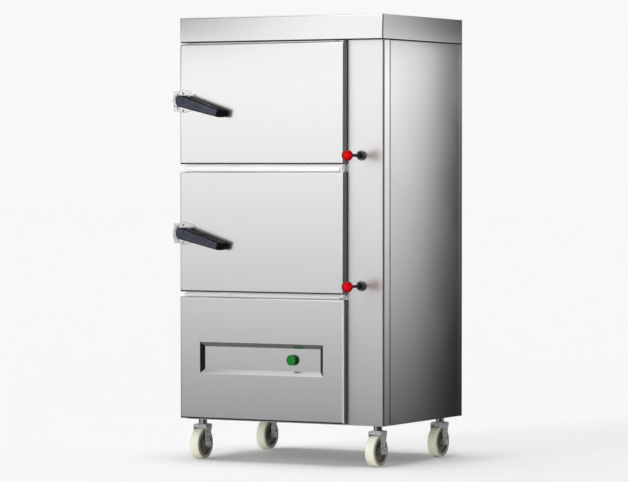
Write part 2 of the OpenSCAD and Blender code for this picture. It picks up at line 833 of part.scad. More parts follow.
module hinge_brackets() {
    flange_t = latch_plate_t;
    top_z0 = cap_z + sheet;
    top_r = pin_y - front_y - fold_r - fit;
    color(ZINC) in_frame() translate([pin_x, pin_y, 0]) {
        union() {
            rod_z(top_r, top_z0, top_z0 + bracket_t);
            box([-bracket_r, 0, top_z0], [bracket_r, -pin_y + cap_lip, top_z0 + bracket_t]);
            rod_z(pin_d / 2, upper_door_z + door_h - pin_in, top_z0 + bracket_t);
        }
        union() {
            rod_z(bracket_r - fit, mid_bracket_z, mid_bracket_z + bracket_t);
            box([-bracket_r, 0, mid_bracket_z], [bracket_r, -pin_y, mid_bracket_z + bracket_t]);
            box([-bracket_r, -pin_y - flange_t, lower_door_z + door_h + hole_clear],
                [bracket_r, -pin_y, upper_door_z - hole_clear]);
            rod_z(pin_d / 2, lower_door_z + door_h - pin_in, upper_door_z + pin_in);
        }
        union() {
            rod_z(bracket_r - fit, low_bracket_z, low_bracket_z + bracket_t);
            box([-bracket_r, 0, low_bracket_z], [bracket_r, -pin_y, low_bracket_z + bracket_t]);
            box([-bracket_r, -pin_y - flange_t, panel_z + panel_h + hole_clear],
                [bracket_r, -pin_y, lower_door_z - hole_clear]);
            rod_z(pin_d / 2, low_bracket_z, lower_door_z + pin_in);
        }
    }
}

// Doors

module door_skin(i) {
    z = door_zs[i];
    color(STEEL) in_frame() difference() {
        front_pan([door_x0, front_y, z], [door_x1, door_back, z + door_h]);
        translate([pin_x, pin_y, 0]) rod_z(bush_d / 2 + fit, z - over, z + door_h + over);
        translate([pivot_x, 0, pivot_zs[i]])
            rod_y(spindle_d / 2 + hole_clear, front_y - over, front_y + sheet + over);
    }
}

// Outline of a chamber's opening, drawn in by a gap
module plug_outline(i, gap, r) {
    polygon(round_rect(open_x0 + gap, open_x1 - gap, open_z0[i] + gap, open_z1[i] - gap, r));
}

module door_tray(i) {
    z = door_zs[i];
    color(STEEL) in_frame() difference() {
        union() {
            box([door_x0 + sheet, door_back - sheet, z + sheet],
                [door_x1 - sheet, door_back, z + door_h - sheet]);
            upright_plate(door_back, plug_d) plug_outline(i, plug_gap, 2 * edge_r);
        }
        upright_plate(door_back - sheet - over, plug_d - sheet)
            plug_outline(i, plug_gap + sheet, 2 * edge_r - sheet);
    }
}

module door_core(i) {
    z = door_zs[i];
    color(FOAM) in_frame() difference() {
        front_block([door_x0 + sheet, front_y + sheet, z + sheet],
            [door_x1 - sheet, door_back - sheet, z + door_h - sheet], sheet);
        translate([pin_x, pin_y, 0]) {
            rod_z(bush_d / 2 + fit, z, z + bush_l + fit);
            rod_z(bush_d / 2 + fit, z + door_h - bush_l - fit, z + door_h);
        }
        translate([pivot_x, 0, pivot_zs[i]])
            rod_y(spindle_nut_d / 2 / cos(30) + hole_clear, front_y,
                spindle_nut_y + spindle_nut_t + hole_clear);
    }
}

module door_gasket(i) {
    lo = [open_x0 - gasket_set, open_z0[i] - gasket_set];
    hi = [open_x1 + gasket_set, open_z1[i] + gasket_set];
    r = 2 * gasket_set;
    color(RUBBER) in_frame() upright_plate(door_back, -gasket_clear) difference() {
        offset_lo = lo - [gasket_w, gasket_w];
        offset_hi = hi + [gasket_w, gasket_w];
        polygon(round_rect(offset_lo.x, offset_hi.x, offset_lo.y, offset_hi.y, r + gasket_w));
        polygon(round_rect(lo.x, hi.x, lo.y, hi.y, r));
    }
}

// A bush in each end of the door, whose collar runs on the hinge bracket or the cap
module door_bushes(i) {
    z = door_zs[i];
    above = (i == UPPER ? cap_gap : (door_gap - bracket_t) / 2) - slide_clear;
    below = (i == UPPER ? (door_gap - bracket_t) / 2 : (panel_gap - bracket_t) / 2) - slide_clear;
    color(ZINC) in_frame() translate([pin_x, pin_y, 0]) {
        difference() {
            union() {
                rod_z(bush_d / 2, z + door_h - bush_l, z + door_h);
                rod_z(collar_d / 2, z + door_h, z + door_h + above);
            }
            rod_z(pin_d / 2 + run_clear, z + door_h - bush_l - over, z + door_h + above + over);
        }
        difference() {
            union() {
                rod_z(bush_d / 2, z, z + bush_l);
                rod_z(collar_d / 2, z - below, z);
            }
            rod_z(pin_d / 2 + run_clear, z - below - over, z + bush_l + over);
        }
    }
}

// Latches

// Plate with a rounded shoulder and a cut-off heel, a boss round the spindle and a pad on the shoulder
module latch_base(i) {
    heel = [latch_plate_l - 2 * latch_heel_r, latch_plate_cut + latch_heel_r - latch_plate_h / 2];
    color(ZINC) in_frame() translate([pivot_x, 0, pivot_zs[i]]) difference() {
        union() {
            upright_plate(latch_plate_y, front_y) hull() {
                translate([-latch_edge, -latch_plate_h / 2]) square([latch_ear, latch_plate_h]);
                translate([latch_pad_x, latch_pad_z]) circle(r = latch_plate_r, $fn = 2 * hull_fn);
                translate(heel) circle(r = latch_heel_r, $fn = hull_fn);
            }
            rod_y(latch_boss_d / 2, latch_boss_y, latch_plate_y);
            translate([latch_pad_x, 0, latch_pad_z])
                rod_y(latch_pad_d / 2, latch_plate_y - latch_pad_h, latch_plate_y);
        }
        rod_y(spindle_d / 2 + run_clear, latch_boss_y - over, front_y + over);
    }
}

// Post of a lever's outline with a chamfered front edge
module lever_post(x, z, r) {
    translate([x, 0, z]) {
        rod_y(r - lever_chamfer, lever_front, hook_y0, $fn = hull_fn);
        rod_y(r, lever_front + lever_chamfer, hook_y0, $fn = hull_fn);
    }
}

module lever_hollow_post(x, z, r) {
    translate([x, 0, z]) rod_y(r - lever_wall, lever_front + 2 * lever_wall, hook_y0 + over, $fn = hull_fn);
}

// Lever seen from above, its end curved back, or the space a wall's thickness inside it
module lever_plan(wall) {
    bend = [lever_l - lever_curve_r, lever_front + lever_curve_r];
    plan = concat(
        [[-nose_d, hook_y0 + over], [-nose_d, lever_front]],
        arc(bend, lever_curve_r - wall, 270, 360),
        [[lever_l - wall, hook_y0 + over]]);
    translate([0, 0, -nose_d]) linear_extrude(2 * nose_d) polygon(plan);
}

module latch_lever(i) {
    end_x = lever_l - lever_end_r;
    end_z = lever_end_h / 2 - lever_end_r;
    hollow_x = nose_d / 2 + 2 * lever_wall;
    hollow_r = nose_d / 2 - hook_step;
    color(LEVER) in_frame() translate([pivot_x, 0, pivot_zs[i]]) rotate([0, lever_droop, 0]) difference() {
        union() {
            intersection() {
                hull() {
                    lever_post(0, 0, nose_d / 2);
                    lever_post(end_x, end_z, lever_end_r);
                    lever_post(end_x, -end_z, lever_end_r);
                }
                lever_plan(0);
            }
            rod_y(lever_disc_d / 2, lever_front - lever_disc_h, lever_front + lever_chamfer);
        }
        intersection() {
            hull() {
                lever_hollow_post(hollow_x, 0, hollow_r);
                lever_hollow_post(end_x, end_z, lever_end_r);
                lever_hollow_post(end_x, -end_z, lever_end_r);
            }
            lever_plan(lever_wall);
        }
        rod_y(spindle_d / 2 + fit, hook_y0 - spindle_in - fit, hook_y0 + over);
    }
}

// Spindle with the hook plate and its retaining nut inside the door
module latch_hook(i) {
    outer = stud_r + stud_slot_r + hook_rim;
    slot = concat(
        arc([0, 0], stud_r + stud_slot_r, 180, 180 - hook_mouth - hook_heel),
        arc([0, 0], stud_r - stud_slot_r, 180 - hook_mouth - hook_heel, 180));
    blade = concat([[spindle_d / 2, 0]], arc([0, 0], outer, 180 - hook_mouth, 180 + hook_heel));
    color(ZINC) in_frame() translate([pivot_x, 0, pivot_zs[i]]) {
        rod_y(spindle_d / 2, hook_y0 - spindle_in, spindle_nut_y + spindle_nut_t);
        hex_y(spindle_nut_d, spindle_nut_y, spindle_nut_y + spindle_nut_t);
        upright_plate(hook_y0, hook_y1) difference() {
            union() {
                circle(r = nose_d / 2 - hook_step);
                polygon(blade);
            }
            polygon(slot);
            translate([-stud_r, 0]) circle(r = stud_slot_r);
        }
    }
}

// Bent bracket on the body's side, with a headed stud for the hook
module latch_strikes() {
    color(ZINC) in_frame() for (z = pivot_zs) translate([0, 0, z]) {
        low = -strike_h / 2;
        high = strike_h / 2;
        t = latch_plate_t;
        box([strike_x0, front_y, low], [strike_x1, front_y + t, high]);
        box([strike_x1 - t, front_y, low], [strike_x1, strike_leg_y, high]);
        box([strike_x1 - t, strike_leg_y - t, low], [-half_w, strike_leg_y, high]);
        box([-half_w - t, strike_leg_y - t, low], [-half_w, strike_leg_y + strike_foot, high]);
        translate([stud_x, 0, 0]) {
            rod_y(stud_d / 2, hook_y0 - slide_clear, front_y);
            rod_y(stud_head_d / 2, hook_y0 - slide_clear - stud_head_t, hook_y0 - slide_clear);
        }
    }
}

// Lower panel and control

module lower_panel() {
    lo = [door_x0, front_y, panel_z];
    hi = [door_x1, 0, panel_z + panel_h];
    color(STEEL) in_frame() difference() {
        union() {
            front_pan(lo, hi);
            difference() {
                box(lo + [sheet, door_proud - sheet, sheet], hi - [sheet, 0, sheet]);
                box([lo.x + flange_w, -sheet - over, lo.z + flange_w],
                    [hi.x - flange_w, over, hi.z - flange_w]);
            }
            recess_block(sheet, front_y + sheet / 2, recess_y + sheet);
        }
        recess_block(0, front_y, recess_y);
        translate([recess_x + button_x, 0, recess_z])
            rod_y(barrel_d / 2 + fit, recess_y - over, recess_y + sheet + over);
    }
}

module button_housing() {
    color(RUBBER) in_frame() translate([recess_x + button_x, 0, recess_z]) difference() {
        union() {
            rod_y(bezel_d / 2, recess_y - bezel_t, recess_y);
            rod_y(barrel_d / 2, recess_y - bezel_t, recess_y + switch_l);
        }
        rod_y(button_stem_d / 2 + run_clear, recess_y - bezel_t - over,
            button_y + button_stem_l + button_travel + hole_clear);
    }
}

module control_box() {
    x = recess_x + button_x;
    y = recess_y + sheet;
    color(ZINC) in_frame() difference() {
        box([x - box_w / 2, y, recess_z - box_h / 2], [x + box_w / 2, y + box_d, recess_z + box_h / 2]);
        box([x - box_w / 2 + sheet, y - over, recess_z - box_h / 2 + sheet],
            [x + box_w / 2 - sheet, y + box_d - sheet, recess_z + box_h / 2 - sheet]);
    }
}

// Domed cap on its stem
module start_button() {
    r = button_d / 2;
    edge = button_t / 2;
    profile = concat(
        [[0, 0], [r, 0]], arc([r - edge, button_t - edge], edge, 0, button_dome), [[0, button_t]]);
    color("limegreen") in_frame() translate([recess_x + button_x, button_y, recess_z]) {
        rotate([90, 0, 0]) rotate_extrude() polygon(profile);
        rod_y(button_stem_d / 2, 0, button_stem_l);
    }
}

// Steam valves

module valve_glands() {
    nut_y = -gland_flange_t - gland_nut_t;
    color(DARK_STEEL) in_frame() for (z = valve_zs) translate([valve_x, 0, z]) difference() {
        union() {
            hex_y(gland_nut_d, nut_y, -gland_flange_t);
            rod_y(gland_flange_d / 2, -gland_flange_t, 0);
            rod_y(gland_barrel_d / 2, -gland_flange_t, valve_y0);
        }
        rod_y(rod_d / 2 + run_clear, nut_y - over, valve_y0 + over);
    }
}

module valve_bodies() {
    color(BRASS) in_frame() for (z = valve_zs) translate([valve_x, 0, z]) difference() {
        union() {
            rod_y(valve_d / 2, valve_y0, valve_y1);
            translate([0, inlet_y, 0]) rod_x(pipe_d / 2 + boss_wall, 0, boss_l);
        }
        rod_y(rod_d / 2 + slide_clear, valve_y0 - over, valve_y1 - valve_wall);
        rod_y(piston_d / 2 + slide_clear, valve_y0 + valve_wall, valve_y1 - valve_wall);
        rod_y(pipe_bore / 2, valve_y1 - valve_wall - over, valve_y1 + over);
        translate([0, inlet_y, 0]) rod_x(pipe_bore / 2, 0, boss_l + over);
    }
}

module valve_rod(i) {
    color(DARK_STEEL) in_frame() translate([valve_x, 0, valve_zs[i]]) {
        rod_y(rod_d / 2, -knob_reach, piston_y + piston_l);
        rod_y(piston_d / 2, piston_y, piston_y + piston_l);
    }
}

// Ball with a small flat where its rod screws in
module valve_knob(i) {
    r = knob_d / 2;
    flat_a = acos((rod_d / 2 + knob_flat) / r);
    profile = concat(
        arc([0, 0], r, -90, flat_a, 24),
        [[rod_d / 2 + fit, r * sin(flat_a)], [rod_d / 2 + fit, 0], [0, 0]]);
    color("red") in_frame() translate([valve_x, -knob_reach, valve_zs[i]])
        rotate([-90, 0, 0]) rotate_extrude() polygon(profile);
}

module steam_feeds() {
    color(BRASS) in_frame() for (i = [UPPER, LOWER]) {
        z = valve_zs[i];
        pipe([[valve_x, valve_y1, z], [valve_x, feed_y, z], [valve_x, feed_y, z + feed_rise],
            [open_x1 - nozzle_l, feed_y, z + feed_rise]]);
    }
}

module steam_riser() {
    top = valve_zs[UPPER] + pipe_d;
    color(BRASS) in_frame() difference() {
        union() {
            run([[steam_out.x, steam_out.y, boiler_z1 + lid_t], [steam_out.x, steam_out.y, steam_run_z],
                [riser_x, steam_out.y, steam_run_z], [riser_x, inlet_y, steam_run_z],
                [riser_x, inlet_y, top]], pipe_d / 2);
            translate([steam_out.x, steam_out.y, boiler_z1 + lid_t])
                rod_z(riser_flange_d / 2, 0, riser_flange_t);
            for (z = valve_zs) translate([0, inlet_y, z]) rod_x(pipe_d / 2, valve_x + boss_l, riser_x);
        }
        translate([steam_out.x, steam_out.y, 0]) rod_z(pipe_bore / 2, boiler_z1, steam_run_z);
        for (z = valve_zs) translate([0, inlet_y, z])
            rod_x(pipe_bore / 2, valve_x + boss_l - over, riser_x);
    }
}

// Boiler

module boiler_tank() {
    t = boiler_wall;
    color(STEEL) in_frame() difference() {
        box([boiler_x0, boiler_front, rail_z1], [boiler_x1, boiler_y1, boiler_z1]);
        box([boiler_x0 + t, boiler_front + t, rail_z1 + t],
            [boiler_x1 - t, boiler_y1 - t, boiler_z1 + over]);
        translate([0, heater_y, heater_z]) rod_x(heater_hole_d / 2, boiler_x1 - t - over, boiler_x1 + over);
        translate([inlet_x, 0, inlet_z]) rod_y(inlet_d / 2 + fit, boiler_y1 - t - over, boiler_y1 + over);
        translate([drain_x, 0, drain_z]) rod_y(drain_d / 2 + fit, boiler_y1 - t - over, boiler_y1 + over);
    }
}

module boiler_lid() {
    e = lid_edge;
    color(STEEL) in_frame() difference() {
        box([boiler_x0 - e, boiler_front - e, boiler_z1],
            [boiler_x1 + e, boiler_y1 + e, boiler_z1 + lid_t]);
        translate([steam_out.x, steam_out.y, boiler_z1]) rod_z(pipe_bore / 2, -over, lid_t + over);
    }
}

// Three bent tubes on one flange, with the terminals' cap outside
module heating_element() {
    x_end = boiler_x1 - tube_l;
    color(ZINC) in_frame() translate([0, heater_y, heater_z]) {
        rod_x(heater_flange_d / 2, boiler_x1, boiler_x1 + heater_flange_t);
        rod_x(heater_hole_d / 2, boiler_x1 + heater_flange_t, boiler_x1 + heater_flange_t + heater_cap_l);
        for (k = [-1 : 1]) translate([0, k * tube_pitch, 0]) {
            for (s = [-1, 1]) translate([0, 0, s * heater_rise]) rod_x(tube_d / 2, x_end, boiler_x1);
            translate([x_end, 0, 0]) rotate([-90, 0, 0]) rotate([0, 0, 90])
                rotate_extrude(angle = 180) translate([heater_rise, 0]) circle(d = tube_d);
        }
    }
}

// Pipe end through the tank's wall and the rear cover, with a nut outside each
module pipe_end(d, y0) {
    rod_y(d / 2, y0, body_d + spigot_out);
    hex_y(d + 2 * pipe_nut_rim, boiler_y1, boiler_y1 + pipe_nut_t);
    hex_y(d + 2 * pipe_nut_rim, body_d, body_d + back_nut_t);
}

// Inlet with the clevis that carries the float
module water_inlet() {
    clevis_y1 = float_pivot_y + clevis_l;
    color(BRASS) in_frame() translate([inlet_x, 0, inlet_z]) difference() {
        union() {
            pipe_end(inlet_d, clevis_y1 - clevis_root);
            for (s = [-1, 1]) translate([s * (clevis_gap + clevis_t) / 2, 0, 0]) {
                box([-clevis_t / 2, float_pivot_y, -float_pin_d], [clevis_t / 2, clevis_y1, float_pin_d]);
                translate([0, float_pivot_y, 0]) rod_x(float_pin_d, -clevis_t / 2, clevis_t / 2);
            }
        }
        rod_y(inlet_d / 2 - pipe_end_wall, boiler_y1, body_d + spigot_out + over);
        translate([0, float_pivot_y, 0]) rod_x(float_pin_d / 2 + run_clear, -clevis_gap, clevis_gap);
    }
}

module float_arm() {
    pin_half = clevis_gap / 2 + clevis_t;
    hub_half = clevis_gap / 2 - slide_clear;
    color(BRASS) in_frame() translate([inlet_x, float_pivot_y, inlet_z]) {
        rod_x(float_pin_d / 2, -pin_half, pin_half);
        rod_x(float_pin_d, -hub_half, hub_half);
        rotate([float_droop, 0, 0]) {
            rod_y(float_pin_d / 2, -float_l, 0);
            translate([0, -float_l, 0]) sphere(d = float_d);
        }
    }
}

module drain_pipe() {
    color(BRASS) in_frame() translate([drain_x, 0, drain_z]) difference() {
        pipe_end(drain_d, boiler_y1 - boiler_wall);
        rod_y(drain_d / 2 - pipe_end_wall, boiler_y1 - boiler_wall - over, body_d + spigot_out + over);
    }
}

module cable_gland() {
    nut = gland_bore + 2 * cable_nut_rim;
    inner_y = body_d - sheet - cable_lock_t;
    cap_y = body_d + cable_body_t;
    color(RUBBER) in_frame() translate([cable_x, 0, cable_z]) difference() {
        union() {
            rod_y(gland_bore / 2 + cable_wall, inner_y - cable_lock_room, body_d);
            hex_y(nut, inner_y, body_d - sheet);
            hex_y(nut, body_d, cap_y);
            rod_y(nut / 2 - cable_cap_step, cap_y, cap_y + cable_cap_l);
        }
        rod_y(gland_bore / 2, inner_y - cable_lock_room - over, cap_y + cable_cap_l + over);
    }
}

// Castors

// Threaded stem with its nut, the collar, and the swivel pin riveted under the fork's crown
module castor_stems() {
    color(ZINC) in_frame() for (x = [-castor_x, castor_x], y = stem_ys) translate([x, y, 0]) {
        rod_z(swivel_head_d / 2, crown_z0 - slide_clear - swivel_head_t, crown_z0 - slide_clear);
        rod_z(swivel_d / 2, crown_z0 - slide_clear, base_z - stem_collar_h);
        rod_z(stem_collar_d / 2, base_z - stem_collar_h, base_z);
        rod_z(stem_d / 2, base_z, base_z + stem_up);
        translate([0, 0, rail_z0 + rail_wall])
            cylinder(h = stem_nut_t, d = (stem_d + 2 * stem_nut_rim) / cos(30), $fn = 6);
    }
}

// Arch of a fork seen from the front
module fork_arch(half, low, top, r) {
    polygon(concat(
        [[-half, low], [half, low]],
        arc([half - r, top - r], r, 0, 90),
        arc([r - half, top - r], r, 90, 180)));
}

// Pressed fork with tapered legs and short skirts under its crown, and its axle bolt
module castor_fork(x, y) {
    axle_y = -trail;
    side = [[-leg_w / 2, crown_z1], [leg_w / 2, crown_z1],
        [axle_y + leg_end_w / 2, wheel_r], [axle_y - leg_end_w / 2, wheel_r]];
    out = leg_x + leg_t;
    low = wheel_r - leg_end_w;
    color(ZINC) in_frame() translate([x, y, 0]) {
        difference() {
            union() {
                intersection() {
                    upright_plate(-leg_w, leg_w) difference() {
                        fork_arch(out, low, crown_z1, fork_bend_r);
                        fork_arch(leg_x, low - over, crown_z0, fork_bend_r - leg_t);
                    }
                    translate([-out - over, 0, 0]) rotate([90, 0, 90]) linear_extrude(2 * (out + over)) {
                        polygon(side);
                        translate([axle_y, wheel_r]) circle(d = leg_end_w);
                    }
                }
                for (skirt_y = [-leg_w / 2, leg_w / 2 - leg_t])
                    box([-leg_x, skirt_y, wheel_d + skirt_gap], [leg_x, skirt_y + leg_t, crown_z0]);
            }
            rod_z(swivel_d / 2 + run_clear, crown_z0 - over, crown_z1 + over);
            translate([0, axle_y, wheel_r]) rod_x(axle_d / 2 + fit, -out - over, out + over);
        }
        translate([0, axle_y, wheel_r]) {
            rod_x(axle_d / 2, -out, out);
            hex_x(axle_nut_d, -out - axle_nut_t, -out);
            hex_x(axle_nut_d, out, out + axle_nut_t);
        }
    }
}

module castor_wheel(x, y) {
    half = wheel_w / 2;
    rim_r = wheel_r - rim_t;
    tread_x = wheel_r - tread_r;
    hub_foot = hub_d / 2 + wheel_draft;
    rim_foot = rim_r - wheel_draft;
    profile = concat(
        [[axle_d / 2 + run_clear, -hub_w / 2], [hub_d / 2, -hub_w / 2], [hub_foot, -web_t / 2],
            [rim_foot, -web_t / 2], [rim_r, -half]],
        arc([tread_x, tread_r - half], tread_r, 270, 360),
        arc([tread_x, half - tread_r], tread_r, 0, 90),
        [[rim_r, half], [rim_foot, web_t / 2], [hub_foot, web_t / 2], [hub_d / 2, hub_w / 2],
            [axle_d / 2 + run_clear, hub_w / 2]]);
    color(NYLON) in_frame() translate([x, y - trail, wheel_r])
        rotate([0, 90, 0]) rotate_extrude() polygon(profile);
}

frame_stiles();
frame_rails();
pillar_cover();
left_panel();
right_panel();
rear_cover();
top_cap();
base_plate();
base_rails();
chamber(UPPER);  // upper_chamber
chamber(LOWER);  // lower_chamber
foam_insulation();
rack_uprights();
tray_ledges();
hinge_brackets();
latch_strikes();
lower_panel();
button_housing();
control_box();
boiler_tank();
boiler_lid();
heating_element();
steam_riser();
valve_bodies();
valve_glands();
steam_feeds();
water_inlet();
drain_pipe();
cable_gland();
castor_stems();
door_skin(UPPER);  // upper_door_skin
door_tray(UPPER);  // upper_door_tray
door_core(UPPER);  // upper_door_core
door_gasket(UPPER);  // upper_door_gasket
door_bushes(UPPER);  // upper_door_bushes
latch_base(UPPER);  // upper_latch_base
door_skin(LOWER);  // lower_door_skin
door_tray(LOWER);  // lower_door_tray
door_core(LOWER);  // lower_door_core
door_gasket(LOWER);  // lower_door_gasket
door_bushes(LOWER);  // lower_door_bushes
latch_base(LOWER);  // lower_latch_base
latch_lever(UPPER);  // upper_latch_lever
latch_hook(UPPER);  // upper_latch_hook
latch_lever(LOWER);  // lower_latch_lever
latch_hook(LOWER);  // lower_latch_hook
valve_rod(UPPER);  // upper_valve_rod
valve_knob(UPPER);  // upper_valve_knob
valve_rod(LOWER);  // lower_valve_rod
valve_knob(LOWER);  // lower_valve_knob
start_button();
float_arm();
castor_fork(-castor_x, stem_ys[0]);  // front_left_fork
castor_wheel(-castor_x, stem_ys[0]);  // front_left_wheel
castor_fork(castor_x, stem_ys[0]);  // front_right_fork
castor_wheel(castor_x, stem_ys[0]);  // front_right_wheel
castor_fork(-castor_x, stem_ys[1]);  // rear_left_fork
castor_wheel(-castor_x, stem_ys[1]);  // rear_left_wheel
castor_fork(castor_x, stem_ys[1]);  // rear_right_fork
castor_wheel(castor_x, stem_ys[1]);  // rear_right_wheel
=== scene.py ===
import json
import math

import bmesh
import bpy
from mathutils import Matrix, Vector


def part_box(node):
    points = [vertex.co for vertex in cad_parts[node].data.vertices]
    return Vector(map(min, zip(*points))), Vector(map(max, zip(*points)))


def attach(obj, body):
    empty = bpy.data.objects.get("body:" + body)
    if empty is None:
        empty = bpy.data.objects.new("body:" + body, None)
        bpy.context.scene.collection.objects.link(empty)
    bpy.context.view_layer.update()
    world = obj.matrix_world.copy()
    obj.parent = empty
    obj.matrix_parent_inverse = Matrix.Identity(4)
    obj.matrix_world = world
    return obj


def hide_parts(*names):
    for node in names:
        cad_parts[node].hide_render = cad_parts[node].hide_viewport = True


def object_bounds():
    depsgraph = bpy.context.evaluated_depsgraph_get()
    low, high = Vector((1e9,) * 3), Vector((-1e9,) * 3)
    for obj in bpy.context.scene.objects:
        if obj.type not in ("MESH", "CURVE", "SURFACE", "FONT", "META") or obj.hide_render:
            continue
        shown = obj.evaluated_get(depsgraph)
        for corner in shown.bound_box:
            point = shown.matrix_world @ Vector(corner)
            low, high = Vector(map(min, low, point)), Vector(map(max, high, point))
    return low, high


bl_info = {
    "name": "Rice steamer cabinet",
    "version": (1, 0, 0),
    "blender": (4, 5, 0),
    "location": "3D View > Sidebar > Steamer",
    "description": "Finishes the pieces of a two-door rice steamer cabinet on castors",
    "category": "Object",
}

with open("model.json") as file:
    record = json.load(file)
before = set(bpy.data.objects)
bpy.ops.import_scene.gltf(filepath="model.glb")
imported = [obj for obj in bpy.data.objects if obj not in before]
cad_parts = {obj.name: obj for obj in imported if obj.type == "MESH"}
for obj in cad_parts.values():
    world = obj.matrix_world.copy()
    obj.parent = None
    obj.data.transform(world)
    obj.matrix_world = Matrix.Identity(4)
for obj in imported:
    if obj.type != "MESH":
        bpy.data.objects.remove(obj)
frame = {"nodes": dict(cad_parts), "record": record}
CAD_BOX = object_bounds()

BODY_OF = {node: body for body, nodes in frame["record"]["behaviour"]["bodies"].items() for node in nodes}
LEVELS = ("upper", "lower")
CORNERS = ("front_left", "front_right", "rear_left", "rear_right")

# Grain of brushed steel, as the stretch of its pattern along X, Y and Z
GRAIN_ACROSS = (3.0, 700.0, 700.0)
GRAIN_UPRIGHT = (700.0, 700.0, 3.0)
GRAIN_DEEP = (700.0, 3.0, 700.0)

# Slope and width of the pillar's rolled edge beside the doors
ROLL_SLOPE = 0.20
ROLL_WIDTH = 0.035
# Width of the lower panel's right fold, which carries a painted highlight
EDGE_WIDTH = 0.01
# Radii round a valve rod between which the painted shadow of its knob on the gland fades out, and how far the
# shadow's edge frays
SHADOW_RADII = (0.010, 0.021)
SHADOW_FRAY = 0.0015

# Screws on a latch plate: distance from its left edge, and heights above its middle
PLATE_SCREW_IN = 0.014
PLATE_SCREW_RISES = (0.026, -0.030)
# Screws on a strike: distance from its left edge, and heights above the latch plate's middle
STRIKE_SCREW_IN = 0.0145
STRIKE_SCREW_RISES = (0.023, -0.023)
PLATE_THICKNESS = 0.003
# Distance of the rear cover's screws from its edges
COVER_SCREW_IN = 0.014

# Parts of a wheel's radius that end its recessed core and its side ring, both darkened as painted shade
CORE_SHARE = 0.73
SIDE_SHARE = 0.94

# A face is a sheet's cut rim if it is narrower than this many times the fold's radius
RIM_SLACK = 1.2
MERGE_DISTANCE = 0.00001
FLAT_ANGLE = math.radians(0.5)
SHARP_ANGLE = math.radians(34)
SMOOTH_ANGLE = math.radians(25)
# A face points forwards if its normal's part along Y is below this
FORWARDS = -0.7
# A face of a folded sheet's hem gets dark steel, painted shade on the fold's underside, if its normal's part
# along Z is between these
SHADED_HEM = (-0.97, -0.25)
# A lever's face keeps the lever colour if its normal's part along Y is below this; its other faces get
# near-black painted shade
LEVER_FRONT = -0.93
# A fold's face leans sideways if its normal's part along X is beyond this, either way
SIDEWAYS = 0.3
# A face shows from the front if its normal's part along Y is below this
SHOWS = -0.1
# Least parts of the normal, forwards and up, on a drip ledge's slope
SLOPE = 0.3
# Least part of the normal to the right on the lower panel's fold with the painted highlight
FOLD_START = 0.15
# Height about which a card's levels lean
LEAN_HEIGHT = 0.75
# Height, as a part of one, above which the ambient light is even
LOW_LIGHT = 0.35


class SteamerSizes(bpy.types.PropertyGroup):
    """Sizes of the finish that a user may want to change"""
    door_edge: bpy.props.FloatProperty(
        name="Door edge", description="Radius of the folded edges of doors, lower panel and cap",
        default=0.0018, min=0.0, unit="LENGTH")
    sheet_edge: bpy.props.FloatProperty(
        name="Sheet edge", description="Radius of the folded edges of the body's sheets",
        default=0.0010, min=0.0, unit="LENGTH")
    part_edge: bpy.props.FloatProperty(
        name="Part edge", description="Radius of the broken edges of turned and pressed parts",
        default=0.0005, min=0.0, unit="LENGTH")
    screw_head: bpy.props.FloatProperty(
        name="Screw head", description="Diameter of the screw heads on latches and covers",
        default=0.009, min=0.001, unit="LENGTH")
    cover_screw_pitch: bpy.props.FloatProperty(
        name="Cover screw spacing", description="Distance between the rear cover's screws",
        default=0.24, min=0.05, unit="LENGTH")


